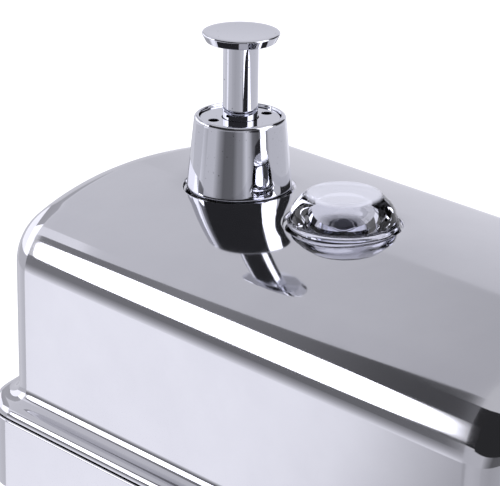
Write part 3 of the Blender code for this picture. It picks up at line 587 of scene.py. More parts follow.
def outline_mesh(half_width, half_height, bow_radius, corner_radius):
    """An oblong with straight sides, bowed ends and round corners, in the XZ plane: spins sweep a quarter of it,
    and mirrors make the rest."""
    mesh = bmesh.new()
    bow_centre = bow_radius - half_height
    corner_x = half_width - corner_radius
    rise = math.sqrt((bow_radius - corner_radius) ** 2 - corner_x ** 2)
    meeting = math.atan2(corner_x, rise)
    tip = mesh.verts.new((0, 0, -half_height))
    swept = bmesh.ops.spin(mesh, geom=[tip], cent=(0, 0, bow_centre), axis=(0, -1, 0), angle=meeting,
                           steps=20)
    tip = last_of(swept, bmesh.types.BMVert)[0]
    swept = bmesh.ops.spin(mesh, geom=[tip], cent=(corner_x, 0, bow_centre - rise), axis=(0, -1, 0),
                           angle=math.pi / 2 - meeting, steps=12)
    tip = last_of(swept, bmesh.types.BMVert)[0]
    side = 26
    swept = bmesh.ops.spin(mesh, geom=[tip], cent=tip.co, dvec=(0, 0, -tip.co.z / side), axis=(0, 1, 0), angle=0,
                           steps=side)
    for axis in ("Z", "X"):
        bmesh.ops.mirror(mesh, geom=mesh.verts[:] + mesh.edges[:], matrix=Matrix.Identity(4), merge_dist=WELD,
                         axis=axis)
    mesh.verts.index_update()
    return mesh


class Pressing:
    """A sheet drawn ring by ring from an outline; each point knows its way out and its place on the inner outline."""

    def __init__(self, sizes, inner_sizes):
        self.mesh = outline_mesh(*sizes)
        wide = outline_mesh(*[size + OUT_STEP for size in sizes])
        inner = outline_mesh(*inner_sizes)
        layers = self.mesh.verts.layers.float_vector
        for name in ("base", "out", "inner"):
            layers.new(name)
        self.base, self.out, self.inner = (layers[name] for name in ("base", "out", "inner"))
        points = (self.mesh.verts[:], wide.verts[:], inner.verts[:])
        if len({len(verts) for verts in points}) != 1:
            raise RuntimeError("the outlines of a pressing differ in their number of points")
        for vert, far, near in zip(*points):
            vert[self.base] = vert.co
            vert[self.out] = (far.co - vert.co) / OUT_STEP
            vert[self.inner] = near.co
        wide.free()
        inner.free()
        self.ring = self.mesh.edges[:]
        self.started = False

    def draw(self, move):
        """Adds the next ring; move(base, out, inner) gives each point's place."""
        if self.started:
            self.ring, verts = extruded(self.mesh, self.ring)
        else:
            verts = self.mesh.verts
        for vert in verts:
            vert.co = move(vert[self.base], vert[self.out], vert[self.inner])
        self.started = True

    def level(self, grow, y):
        """Adds a ring at one depth, wider than the outline by a distance."""
        self.draw(lambda base, out, inner: Vector((base.x + out.x * grow, y, base.z + out.z * grow)))

    def close(self):
        """Welds the middle line and faces everything outwards, away from +Y."""
        bmesh.ops.remove_doubles(self.mesh, verts=self.mesh.verts, dist=WELD)
        bmesh.ops.dissolve_degenerate(self.mesh, dist=1e-7, edges=self.mesh.edges)
        face_out(self.mesh)
        return self.mesh


def crown_drop(tank, x):
    """How far the bowed front has fallen back at a distance from its middle line."""
    return tank.crown_radius - math.sqrt(tank.crown_radius ** 2 - x ** 2)


def draw_rounding(pressing, tank):
    """The rounding between walls and front: wider along the sides than across the ends."""
    for angle in steps(0, math.pi / 2, LONG_STEPS):
        inwards = 1 - math.cos(angle)

        def move(base, out, inner, inwards=inwards, angle=angle):
            height = tank.end_edge + (tank.long_edge - tank.end_edge) * out.x ** 2 / out.length_squared
            x = base.x + (inner.x - base.x) * inwards
            z = base.z + (inner.z - base.z) * inwards
            return Vector((x, FACE_Y + crown_drop(tank, x) + height * (1 - math.sin(angle)), z))

        pressing.draw(move)


def draw_front(pressing, tank):
    """The bowed front, drawn in to its middle line."""
    for part in steps(1, 0, FRONT_STEPS)[1:]:

        def move(base, out, inner, part=part):
            return Vector((inner.x * part, FACE_Y + crown_drop(tank, inner.x * part), inner.z))

        pressing.draw(move)


def press_seat(mesh, tank, z, seat_radius, hole_radius):
    """Presses a flat round seat with a rounded lip into the front and pierces it. The points near the rim go, and the
    ring of edges left around them is drawn in."""
    margin, skin = 0.0006, 0.002
    ring_margin, ring_skin = 0.006, 0.004
    lip = tank.seat_lip
    rim = seat_radius + lip

    def off_axis(vert):
        return Vector((vert.co.x, 0, vert.co.z - z))

    doomed = [vert for vert in mesh.verts
              if vert.co.y < FACE_Y + skin and off_axis(vert).length < rim + margin]
    bmesh.ops.delete(mesh, geom=doomed, context="VERTS")
    ring = [edge for edge in mesh.edges if edge.is_boundary
            and all(off_axis(vert).length < rim + ring_margin and vert.co.y < FACE_Y + ring_skin
                    for vert in edge.verts)]
    profile = [(rim, 0, 1)]
    profile += [(rim - lip * math.sin(a), lip * (1 - math.cos(a)), 1) for a in steps(0, math.radians(80), 5)[1:]]
    profile += [(seat_radius, tank.seat_depth - EDGE, 0), (seat_radius - EDGE, tank.seat_depth, 0),
                (hole_radius + EDGE, tank.seat_depth, 0), (hole_radius, tank.seat_depth + EDGE, 0)]
    verts = {vert for edge in ring for vert in edge.verts}
    for k, (radius, depth, on_crown) in enumerate(profile):
        if k:
            ring, verts = extruded(mesh, ring)
        for vert in verts:
            spot = off_axis(vert).normalized() * radius
            vert.co = (spot.x, FACE_Y + depth + on_crown * crown_drop(tank, spot.x), spot.z + z)


def add(tree, kind, settings=None, links=None):
    """Adds a node, sets its properties and inputs, and joins its inputs to other nodes' outputs."""
    node = tree.nodes.new(kind)
    for key, value in (settings or {}).items():
        if isinstance(key, str) and hasattr(node, key):
            setattr(node, key, value)
        else:
            node.inputs[key].default_value = value
    for key, source in (links or {}).items():
        tree.links.new(source, node.inputs[key])
    return node


def dress(tree, shader, tint, gloss, bumps, metallic=0.0):
    """Joins a finish's colour, gloss and surface bumps to its shader."""
    tree.links.new(tint.outputs[2], shader.inputs["Base Color"])
    tree.links.new(gloss.outputs["Result"], shader.inputs["Roughness"])
    tree.links.new(bumps.outputs["Normal"], shader.inputs["Normal"])
    shader.inputs["Metallic"].default_value = metallic


# In the finishes a noise of scale 1000 has grains 1 mm wide.
def polished_steel(tree, place, shader, finishes):
    """Stainless steel 304, drawn and mirror-polished: clear reflections that waver slightly with the drawn sheet,
    and faint wiping marks that blur them in places. The marks are about 26 mm wide and the wavers about 45 mm."""
    smears = add(tree, "ShaderNodeTexNoise", {"Scale": 38.0, "Detail": 5.0, "Roughness": 0.6}, {"Vector": place})
    tint = add(tree, "ShaderNodeMix", {"data_type": "RGBA", 6: (*finishes.steel, 1), 7: (*finishes.steel_dark, 1)},
               {0: smears.outputs["Fac"]})
    gloss = add(tree, "ShaderNodeMapRange", {"From Min": 0.35, "From Max": 0.75,
                                             "To Min": finishes.steel_roughness,
                                             "To Max": finishes.steel_roughness * 2.2},
                {"Value": smears.outputs["Fac"]})
    sheet = add(tree, "ShaderNodeTexNoise", {"Scale": 22.0, "Detail": 1.0}, {"Vector": place})
    waver = add(tree, "ShaderNodeBump", {"Strength": 0.25, "Distance": 0.00012},
                {"Height": sheet.outputs["Fac"]})
    dress(tree, shader, tint, gloss, waver, metallic=1.0)


def chrome_plate(tree, place, shader, finishes):
    """Zinc casting under bright chrome: harder reflections than the steel, with a few pits from the casting. The pits
    are under 0.7 mm wide, and the casting's unevenness is about 6 mm wide."""
    grain = add(tree, "ShaderNodeTexNoise", {"Scale": 1400.0, "Detail": 2.0}, {"Vector": place})
    pits = add(tree, "ShaderNodeMapRange", {"From Min": 0.70, "From Max": 0.78}, {"Value": grain.outputs["Fac"]})
    tint = add(tree, "ShaderNodeMix", {"data_type": "RGBA", 6: (*finishes.chrome, 1), 7: (0.12, 0.12, 0.13, 1)},
               {0: pits.outputs["Result"]})
    gloss = add(tree, "ShaderNodeMapRange", {"To Min": finishes.chrome_roughness, "To Max": 0.5},
                {"Value": pits.outputs["Result"]})
    casting = add(tree, "ShaderNodeTexNoise", {"Scale": 160.0, "Detail": 2.0}, {"Vector": place})
    waver = add(tree, "ShaderNodeBump", {"Strength": 0.2, "Distance": 0.00004},
                {"Height": casting.outputs["Fac"]})
    dress(tree, shader, tint, gloss, waver, metallic=1.0)


def clear_acrylic(tree, place, shader, finishes):
    """Moulded acrylic: glass-clear on its sides; on its flat top a painted highlight, made by turning the clearness
    down with height so the top shows paler, where light gathers. The mould's ripple is about 11 mm wide and the worn
    spots about 2 mm."""
    ripple = add(tree, "ShaderNodeTexNoise", {"Scale": 90.0, "Detail": 1.0}, {"Vector": place})
    waver = add(tree, "ShaderNodeBump", {"Strength": 0.15, "Distance": 0.00006},
                {"Height": ripple.outputs["Fac"]})
    wear = add(tree, "ShaderNodeTexNoise", {"Scale": 500.0, "Detail": 4.0}, {"Vector": place})
    gloss = add(tree, "ShaderNodeMapRange", {"From Min": 0.6, "From Max": 0.8, "To Min": 0.0, "To Max": 0.08},
                {"Value": wear.outputs["Fac"]})
    tree.links.new(gloss.outputs["Result"], shader.inputs["Roughness"])
    tree.links.new(waver.outputs["Normal"], shader.inputs["Normal"])
    shader.inputs["Base Color"].default_value = (*finishes.acrylic, 1)
    # Painted highlight: the flat top lets less light through than the sides, so it shows paler, standing in for the
    # light that gathers in the top.
    height = add(tree, "ShaderNodeSeparateXYZ", {}, {"Vector": place})
    top_depth = 0.0010
    painted_top_highlight = add(tree, "ShaderNodeMapRange", {"From Min": LENS_LOW.y, "From Max": LENS_LOW.y + top_depth, "To Min": 0.25,
                "To Max": 1.0, "interpolation_type": "SMOOTHSTEP"}, {"Value": height.outputs["Y"]})
    tree.links.new(painted_top_highlight.outputs["Result"], shader.inputs["Transmission Weight"])
    shader.inputs["IOR"].default_value = 1.49


def mill_steel(tree, place, shader, finishes):
    """Rolled stainless steel as it leaves the mill: grey, with rolling lines that run up and down, 0.4 mm apart and
    40 mm long; real ones are finer than shows."""
    along = add(tree, "ShaderNodeMapping", {"Scale": (2500.0, 2500.0, 25.0)}, {"Vector": place})
    lines = add(tree, "ShaderNodeTexNoise", {"Scale": 1.0, "Detail": 3.0}, {"Vector": along.outputs["Vector"]})
    tint = add(tree, "ShaderNodeMix", {"data_type": "RGBA", 6: (*[c * 0.8 for c in finishes.mill], 1),
                                       7: (*finishes.mill, 1)}, {0: lines.outputs["Fac"]})
    gloss = add(tree, "ShaderNodeMapRange", {"To Min": 0.24, "To Max": 0.42}, {"Value": lines.outputs["Fac"]})
    grooves = add(tree, "ShaderNodeBump", {"Strength": 0.3, "Distance": 0.00002}, {"Height": lines.outputs["Fac"]})
    dress(tree, shader, tint, gloss, grooves, metallic=1.0)


def lock_brass(tree, place, shader, finishes):
    """Turned brass: warm, with slight tarnish in patches about 3 mm wide and a fine unevenness from the tool."""
    tarnish = add(tree, "ShaderNodeTexNoise", {"Scale": 300.0, "Detail": 4.0}, {"Vector": place})
    tint = add(tree, "ShaderNodeMix", {"data_type": "RGBA", 6: (*finishes.brass, 1),
                                       7: (*[c * 0.7 for c in finishes.brass], 1)}, {0: tarnish.outputs["Fac"]})
    gloss = add(tree, "ShaderNodeMapRange", {"To Min": 0.18, "To Max": 0.38}, {"Value": tarnish.outputs["Fac"]})
    marks = add(tree, "ShaderNodeBump", {"Strength": 0.2, "Distance": 0.00002}, {"Height": tarnish.outputs["Fac"]})
    dress(tree, shader, tint, gloss, marks, metallic=1.0)


def nitrile_rubber(tree, place, shader, finishes):
    """Moulded nitrile rubber: black and matt, with a grain about 0.5 mm wide that greys the high spots."""
    grain = add(tree, "ShaderNodeTexNoise", {"Scale": 2200.0, "Detail": 3.0}, {"Vector": place})
    tint = add(tree, "ShaderNodeMix", {"data_type": "RGBA", 6: (*finishes.rubber, 1),
                                       7: (*[c * 2.5 + 0.004 for c in finishes.rubber], 1)},
               {0: grain.outputs["Fac"]})
    gloss = add(tree, "ShaderNodeMapRange", {"To Min": 0.55, "To Max": 0.8}, {"Value": grain.outputs["Fac"]})
    bumps = add(tree, "ShaderNodeBump", {"Strength": 0.4, "Distance": 0.00003}, {"Height": grain.outputs["Fac"]})
    dress(tree, shader, tint, gloss, bumps)


def white_acetal(tree, place, shader, finishes):
    """Moulded acetal: milky white and waxy, with the mould's light orange peel, about 1.4 mm wide."""
    peel = add(tree, "ShaderNodeTexNoise", {"Scale": 700.0, "Detail": 2.0}, {"Vector": place})
    tint = add(tree, "ShaderNodeMix", {"data_type": "RGBA", 6: (*finishes.acetal, 1),
                                       7: (*[c * 0.93 for c in finishes.acetal], 1)}, {0: peel.outputs["Fac"]})
    gloss = add(tree, "ShaderNodeMapRange", {"To Min": 0.3, "To Max": 0.45}, {"Value": peel.outputs["Fac"]})
    bumps = add(tree, "ShaderNodeBump", {"Strength": 0.2, "Distance": 0.00004}, {"Height": peel.outputs["Fac"]})
    dress(tree, shader, tint, gloss, bumps)
    shader.inputs["Subsurface Weight"].default_value = 0.1
    shader.inputs["Subsurface Scale"].default_value = 0.001


def vinyl_hose(tree, place, shader, finishes):
    """Extruded clear vinyl: see-through but slightly clouded, in patches about 2.5 mm wide."""
    cloud = add(tree, "ShaderNodeTexNoise", {"Scale": 400.0, "Detail": 2.0}, {"Vector": place})
    gloss = add(tree, "ShaderNodeMapRange", {"To Min": 0.08, "To Max": 0.25}, {"Value": cloud.outputs["Fac"]})
    tree.links.new(gloss.outputs["Result"], shader.inputs["Roughness"])
    shader.inputs["Base Color"].default_value = (*finishes.hose, 1)
    shader.inputs["Transmission Weight"].default_value = 0.85
    shader.inputs["IOR"].default_value = 1.53


FINISHES = {
    "polished_steel": ("mirror_polished_stainless", polished_steel),
    "mill_steel": ("mill_finish_stainless", mill_steel),
    "chrome_plate": ("chrome_plated_zinc", chrome_plate),
    "lock_brass": ("turned_brass", lock_brass),
    "clear_acrylic": ("clear_moulded_acrylic", clear_acrylic),
    "seal_rubber": ("black_nitrile_rubber", nitrile_rubber),
    "pump_plastic": ("white_moulded_acetal", white_acetal),
    "clear_hose": ("clear_vinyl_hose", vinyl_hose),
}


def finish_for(slot):
    """The material of a record slot, made the first time it is asked for."""
    name, lay_nodes = FINISHES[slot]
    material = bpy.data.materials.get(name)
    if material is None:
        material = bpy.data.materials.new(name)
        material.use_nodes = True
        tree = material.node_tree
        tree.nodes.clear()
        place = add(tree, "ShaderNodeTexCoord")
        shader = add(tree, "ShaderNodeBsdfPrincipled")
        add(tree, "ShaderNodeOutputMaterial", {}, {"Surface": shader.outputs["BSDF"]})
        lay_nodes(tree, place.outputs["Object"], shader, bpy.context.scene.dispenser_finish)
    return material


class DISPENSER_OT_tank_front(bpy.types.Operator):
    """Draws the tank's bowed front with its roundings, ledge, bead, round seats and filler mouth"""

    bl_idname = "dispenser.tank_front"
    bl_label = "Tank front"

    def execute(self, context):
        tank = context.scene.dispenser_tank
        inner = (HALF_WIDTH - tank.long_edge, HALF_HEIGHT - tank.end_edge, tank.bow_radius - tank.end_edge,
                 tank.inner_corner)
        pressing = Pressing(tank_sizes(tank), inner)
        ledge_y = FACE_Y + tank.ledge_depth
        fillet_y = ledge_y - tank.fillet
        bead_y = ledge_y + tank.bead
        for angle in steps(math.pi / 2, 0, ROUND_STEPS):
            pressing.level(BEAD_WIDTH - tank.bead + tank.bead * math.sin(angle),
                           bead_y - tank.bead * math.cos(angle))
        for angle in steps(0, math.pi / 2, ROUND_STEPS):
            pressing.level(tank.fillet * (1 - math.sin(angle)), fillet_y + tank.fillet * math.cos(angle))
        draw_rounding(pressing, tank)
        draw_front(pressing, tank)
        mesh = pressing.close()
        press_seat(mesh, tank, PUMP_Z, tank.pump_seat, tank.pump_hole)
        press_seat(mesh, tank, WINDOW_Z, tank.window_seat, tank.window_hole)
        face_out(mesh)
        shell = finish_object("tank_front", mesh, "tank", "polished_steel", ["front_shell"], sharp=SHARP_SHEET)
        add_wall(shell, tank.sheet)
        mouth_corner = 0.005
        mouth = block((-tank.mouth_half_width, tank.mouth_front, HALF_HEIGHT - 0.02),
                      (tank.mouth_half_width, tank.mouth_back, HALF_HEIGHT + 0.01))
        upright = [edge for edge in mouth.edges if abs(edge.verts[0].co.z - edge.verts[1].co.z) > 0.001]
        bmesh.ops.bevel(mouth, geom=upright, offset=mouth_corner, segments=ROUND_STEPS, affect="EDGES",
                        profile=0.5, material=-1)
        cut_out(shell, [mouth], sharp=SHARP_SHEET)
        return {"FINISHED"}


class DISPENSER_OT_tank_rear(bpy.types.Operator):
    """Draws the rear tier, the closing panel inside it, and the screw that keeps the tank on its bracket"""

    bl_idname = "dispenser.tank_rear"
    bl_label = "Tank rear"

    def execute(self, context):
        tank = context.scene.dispenser_tank
        grow = REAR_HIGH.x - HALF_WIDTH
        front_y = REAR_LOW.y
        edge_y = front_y + tank.rear_edge
        pressing = Pressing(tank_sizes(tank), tank_sizes(tank))
        pressing.level(grow, REAR_HIGH.y)
        for angle in steps(0, math.pi / 2, 6):
            pressing.level(grow - tank.rear_edge * (1 - math.cos(angle)), edge_y - tank.rear_edge * math.sin(angle))
        pressing.level(tank.rear_flange, front_y)
        skirt = finish_object("tank_rear", pressing.close(), "tank", "polished_steel", ["rear_shell"],
                              sharp=SHARP_SHEET)
        add_wall(skirt, tank.sheet)
        screw_low, screw_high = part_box("fixing_screw")
        screw_y = (screw_low.y + screw_high.y) / 2
        shank = 0.0013
        hole = rod(shank + CLEAR, REAR_LOW.z - 0.003, REAR_LOW.z + 0.003)
        bmesh.ops.translate(hole, vec=(0, screw_y, 0), verts=hole.verts)
        cut_out(skirt, [hole], sharp=SHARP_SHEET)
        softened("tank_back", "back_plate", "tank", "polished_steel", EDGE)
        radius = (screw_high.x - screw_low.x) / 2
        under_head = REAR_LOW.z - CLEAR
        low = screw_low.z
        recess = 0.0011
        recess_floor = low + 0.0012
        rounding = 0.0008
        point = 0.0004
        profile = [(0, recess_floor), (recess, recess_floor), (recess + 0.0002, low), (radius - rounding, low)]
        profile += arc((radius - rounding, low + rounding), rounding, -90, 0)
        profile += [(radius, under_head), (shank, under_head), (shank, screw_high.z - point),
                    (shank - point, screw_high.z), (0, screw_high.z)]
        screw = turned(profile, 48, closed=False)
        bmesh.ops.translate(screw, vec=(0, screw_y, 0), verts=screw.verts)
        finish_object("tank_screw", screw, "tank", "mill_steel", ["fixing_screw"])
        return {"FINISHED"}


class DISPENSER_OT_wall_fixings(bpy.types.Operator):
    """Makes the plate that is screwed to the wall, and the rail on the tank's back that hooks onto it"""

    bl_idname = "dispenser.wall_fixings"
    bl_label = "Wall fixings"

    def execute(self, context):
        softened("wall_plate", "wall_bracket", "tank", "mill_steel", FINE_EDGE)
        softened("back_rail", "hanger_rail", "tank", "mill_steel", EDGE)
        return {"FINISHED"}


class DISPENSER_OT_pump_head(bpy.types.Operator):
    """Turns the collar, the pierced gland inside its rim, the outlet bush below it and their seals"""

    bl_idname = "dispenser.pump_head"
    bl_label = "Pump head"

    def execute(self, context):
        pump = context.scene.dispenser_pump
        tank = context.scene.dispenser_tank
        top = FACE_Y - COLLAR_LOW.y
        gland_top = FACE_Y - GLAND_LOW.y
        gland_bottom = FACE_Y - GLAND_HIGH.y
        gland_radius = (GLAND_HIGH.x - GLAND_LOW.x) / 2
        pocket = gland_radius + CLEAR
        bore = pump.cylinder + CLEAR
        foot_gap = 0.001
        base = -tank.seat_depth + foot_gap
        base_radius = COLLAR_HIGH.x
        rim = pump.rim_round
        profile = [(bore, base), (base_radius - EDGE, base)]
        profile += arc((base_radius - EDGE, base + EDGE), EDGE, -90, 0, 3)[1:]
        profile += [(collar_radius(pump, height), height) for height in steps(0.0005, top - rim, 44)]
        profile += arc((pump.rim_radius - rim, top - rim), rim, 0, 90, 8)[1:]
        profile += arc((pocket + FINE_EDGE, top - FINE_EDGE), FINE_EDGE, 90, 180, 3)
        profile += [(pocket, gland_bottom - CLEAR), (bore, gland_bottom - CLEAR)]
        collar = finish_object("collar", on_pump(turned(profile, 128)), "tank", "chrome_plate", ["pump_collar"],
                               sharp=SHARP_TURNED)
        port = rod(pump.port, 0.006, 0.020)
        cut_out(collar, [on_outlet(port, pump)], SHARP_TURNED)

        gland = finish_object(
            "gland", on_pump(turned(ring_profile(pump.stem + CLEAR, gland_radius, gland_bottom, gland_top))),
            "tank", "chrome_plate", ["gland_plug"])
        holes = []
        turn = math.radians(pump.spanner_turn)
        for side in (1, -1):
            hole = rod(pump.spanner_hole, gland_top - 0.003, gland_top + 0.003, 32)
            reach = side * pump.spanner_circle
            bmesh.ops.translate(hole, vec=(reach * math.cos(turn), reach * math.sin(turn), 0), verts=hole.verts)
            holes.append(on_pump(hole))
        cut_out(gland, holes)
        round_edges(gland, 0.00015, 2)

        mouth = collar_radius(pump, pump.outlet) + 0.0003
        edge = pump.port - CLEAR
        outlet_bore = 0.0018
        rounding = 0.0004
        profile = [(outlet_bore, pump.cylinder + 0.0006), (edge, pump.cylinder + 0.0006)]
        profile += arc((edge - rounding, mouth - rounding), rounding, 0, 90, 4)
        profile += arc((outlet_bore + EDGE, mouth - EDGE), EDGE, 90, 180, 4)
        bush = turned(profile, 64)
        finish_object("outlet", on_outlet(bush, pump), "tank", "chrome_plate", ["outlet_bush"])

        seat = -tank.seat_depth
        turn_ring("collar_ring", "collar_gasket", tank.pump_hole, base_radius - GASKET_INSET, seat + CLEAR,
                  seat + GASKET)
        turn_ring("stem_ring", "stem_seal", pump.stem + CLEAR, pump.cylinder, pump.cylinder_top + CLEAR,
                  gland_bottom - CLEAR)
        return {"FINISHED"}


class DISPENSER_OT_plunger(bpy.types.Operator):
    """Turns the push button with its bevelled underside, the stem, and the piston with its seal and valve ball"""

    bl_idname = "dispenser.plunger"
    bl_label = "Button and plunger"

    def execute(self, context):
        pump = context.scene.dispenser_pump
        top = FACE_Y - BUTTON_LOW.y
        underside = FACE_Y - BUTTON_HIGH.y
        radius = BUTTON_HIGH.x
        edge = pump.button_round
        undercut = radius - 0.0013
        dish = 0.0002
        profile = [(0, underside), (undercut, underside), (undercut + 0.0002, underside + 0.0001)]
        profile += arc((radius - edge, top - edge), edge, 0, 90, 6)
        profile += [(radius - 0.0016, top), (radius - 0.0026, top - dish / 4), (0, top - dish)]
        button = finish_object("button", on_pump(turned(profile, 128, closed=False)), "plunger", "chrome_plate",
                               ["push_button"], sharp=SHARP_TURNED)
        round_edges(button, 0.0001, 2, 35)

        end = FACE_Y - STEM_HIGH.y
        high = underside - CLEAR
        channel = 0.0016
        channel_end = 0.003
        profile = [(0, channel_end), (channel, channel_end), (channel, end), (pump.stem - EDGE, end),
                   (pump.stem, end + EDGE), (pump.stem, high), (0, high)]
        stem = finish_object("stem", on_pump(turned(profile, closed=False)), "plunger", "chrome_plate",
                             ["plunger_stem"], sharp=SHARP_TURNED)
        drill = 0.0012
        drilling = rod(drill, -0.008, 0.008, 24)
        drilling.transform(Matrix.Translation((0, 0, 0.001)) @ Matrix.Rotation(math.pi / 2, 4, "Y"))
        cut_out(stem, [on_pump(drilling)], sharp=SHARP_TURNED)

        low, high = heights("piston")
        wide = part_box("piston")[1].x
        core = 0.0054
        groove = low + 0.0014
        groove_end = groove + 0.0026
        ball_room = 0.0025
        inlet = 0.0013
        ball_seat = low + 0.0015
        profile = [(inlet, low), (wide - FINE_EDGE, low), (wide, low + FINE_EDGE), (wide, groove), (core, groove),
                   (core, groove_end), (wide, groove_end), (wide, high - FINE_EDGE), (wide - FINE_EDGE, high),
                   (ball_room, high), (ball_room, ball_seat), (inlet, ball_seat)]
        finish_object("piston_head", on_pump(turned(profile, 64)), "plunger", "pump_plastic", ["piston"])
        turn_ring("piston_ring", "piston_seal", core + CLEAR, pump.bore - CLEAR, *heights("piston_seal"),
                  body="plunger")
        valve_ball("outlet_valve_ball", "outlet_ball", "outlet_valve")
        return {"FINISHED"}


class DISPENSER_OT_pump_inside(bpy.types.Operator):
    """Makes the pump's cylinder, inlet cap, valve ball, return spring, nut, washer and suction hose"""

    bl_idname = "dispenser.pump_inside"
    bl_label = "Pump inside the tank"

    def execute(self, context):
        pump = context.scene.dispenser_pump
        end, top = heights("pump_cylinder")
        cylinder = finish_object("cylinder", on_pump(turned(ring_profile(pump.bore, pump.cylinder, end, top), 64)),
                                 "tank", "pump_plastic", ["pump_cylinder"])
        port_radius = 0.0016
        port = rod(port_radius, 0.005, 0.012, 24)
        cut_out(cylinder, [on_outlet(port, pump)])
        round_edges(cylinder, FINE_EDGE, 2)

        nipple_end, cap_top = heights("inlet_cap")
        back = end - 0.0035
        seat = end - 0.0010
        fit = pump.bore - CLEAR
        ball_room = 0.0030
        inlet = 0.0013
        barb_root = 0.0020
        barb_tip = 0.0024
        profile = [(ball_room, cap_top), (fit, cap_top), (fit, end - CLEAR), (pump.cylinder, end - CLEAR),
                   (pump.cylinder, back), (barb_tip, back)]
        barb = (back - nipple_end) / 3
        for k in range(3):
            step = back - barb * k - 0.0004
            profile += [(barb_root, step), (barb_tip, step)]
            profile += [(barb_root, back - barb * (k + 1))] if k < 2 else [(0.0019, nipple_end)]
        profile += [(inlet, nipple_end), (inlet, seat), (ball_room, seat)]
        cap = finish_object("inlet", on_pump(turned(profile, 64)), "tank", "pump_plastic", ["inlet_cap"])
        round_edges(cap, 0.0001, 2)
        valve_ball("inlet_valve_ball", "inlet_ball", "inlet_valve")
        wind_spring(pump)

        low, high = heights("pump_washer")
        turn_ring("washer", "pump_washer", pump.cylinder + CLEAR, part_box("pump_washer")[1].x, low, high)
        softened("collar_nut", "pump_nut", "tank", "chrome_plate", NUT_EDGE)
        lay_hose(pump)
        return {"FINISHED"}


class DISPENSER_OT_window(bpy.types.Operator):
    """Turns the clear sight window with its flange and threaded stem, its seal and its nut"""

    bl_idname = "dispenser.window"
    bl_label = "Sight window"

    def execute(self, context):
        window = context.scene.dispenser_window
        tank = context.scene.dispenser_tank
        top = FACE_Y - LENS_LOW.y
        end = FACE_Y - LENS_HIGH.y
        flange = LENS_HIGH.x
        shoulder = window.shoulder
        stem = window.stem
        profile = [(0, top), (window.top_radius * 0.5, top)]
        shoulder_end = 36
        foot_height = 0.0019
        profile += arc((window.top_radius, top - shoulder), shoulder, 90, shoulder_end, 9)
        wide, high = profile[-1]
        profile += [(wide + (window.foot - wide) * part + window.bulge * math.sin(math.pi * part),
                     high + (foot_height - high) * part) for part in steps(0.15, 1, 7)]
        profile += [(window.foot + 0.0001, 0.0014), (window.foot + 0.0004, 0.0012)]
        profile += arc((flange - 0.0006, 0.0004), 0.0006, 90, 0, 5)
        profile += arc((flange - EDGE, -EDGE), EDGE, 0, -90, 3)
        profile += [(stem, -0.0006)]
        root = stem - window.thread
        thread_start = -0.0026
        pitch = 0.0012
        height = thread_start
        while height > end + 0.0010:
            profile += [(stem, height), (root, height - 0.0002), (root, height - 0.0005), (stem, height - 0.0007)]
            height -= pitch
        profile += [(stem, end + EDGE), (stem - EDGE, end), (window.bore, end), (window.bore, 0),
                    (window.bore - 0.0006, 0.0006), (0, 0.0010)]
        finish_object("window", on_window(turned(profile, 128, closed=False)), "tank", "clear_acrylic",
                      ["window_lens"], sharp=38)
        seat = -tank.seat_depth
        profile = ring_profile(tank.window_hole, flange - GASKET_INSET, seat + CLEAR, seat + GASKET)
        finish_object("window_ring", on_window(turned(profile)), "tank", "seal_rubber", ["window_gasket"])
        softened("window_back_nut", "window_nut", "tank", "chrome_plate", NUT_EDGE)
        return {"FINISHED"}


class DISPENSER_OT_lid(bpy.types.Operator):
    """Presses the filler lid and its turned-down edge, and makes its seal, hinge and pin"""

    bl_idname = "dispenser.lid"
    bl_label = "Filler lid and hinge"

    def execute(self, context):
        lid = context.scene.dispenser_lid
        tank = context.scene.dispenser_tank
        skin = finish_object("lid", press_cover(lid, tank), "lid", "polished_steel", ["filler_lid"], sharp=SHARP_SHEET)
        add_wall(skin, tank.sheet)
        hole = rod(lid.lock_barrel + CLEAR, HALF_HEIGHT - 0.002, HALF_HEIGHT + 0.006)
        bmesh.ops.translate(hole, vec=(0, LOCK_Y, 0), verts=hole.verts)
        cut_out(skin, [hole], sharp=SHARP_SHEET)
        softened("lid_ring", "lid_seal", "lid", "seal_rubber", FINE_EDGE)

        tab_z = HALF_HEIGHT + lid.height
        tab_under, tab_sheet = 0.0012, 0.0009
        tab = block((-lid.knuckle_half, lid.back - tab_under, tab_z - tab_sheet), (lid.knuckle_half, HINGE_Y, tab_z))
        round_edges(finish_object("lid_tab", tab, "lid", "polished_steel"), FINE_EDGE)
        reach = lid.knuckle_half - 0.0001
        hinge_tube("lid_knuckle", "lid", lid, -reach, reach)

        leaf_low, leaf_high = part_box("hinge_leaf")
        leaf_sheet = 0.001
        leaf = block((leaf_low.x, HINGE_Y + 0.0005, leaf_low.z), (leaf_high.x, leaf_high.y, leaf_low.z + leaf_sheet))
        leaf = finish_object("hinge_plate", leaf, "tank", "polished_steel", ["hinge_leaf"])
        room = lid.knuckle_half + CLEAR
        cut_out(leaf, [block((-room, HINGE_Y - 0.003, leaf_low.z - 0.002),
                             (room, HINGE_Y + lid.knuckle + CLEAR, leaf_low.z + 0.004))])
        round_edges(leaf, FINE_EDGE)
        hinge_tube("hinge_tube_left", "tank", lid, leaf_low.x, -room)
        hinge_tube("hinge_tube_right", "tank", lid, room, leaf_high.x)
        half = PIN_HIGH.x
        dome = 0.0005
        profile = [(0, -half)] + arc((lid.pin - dome, dome - half), dome, -90, 0)
        profile += arc((lid.pin - dome, half - dome), dome, 0, 90) + [(0, half)]
        finish_object("hinge_rod", on_hinge(turned(profile, 32, closed=False)), "tank", "polished_steel",
                      ["hinge_pin"])
        return {"FINISHED"}


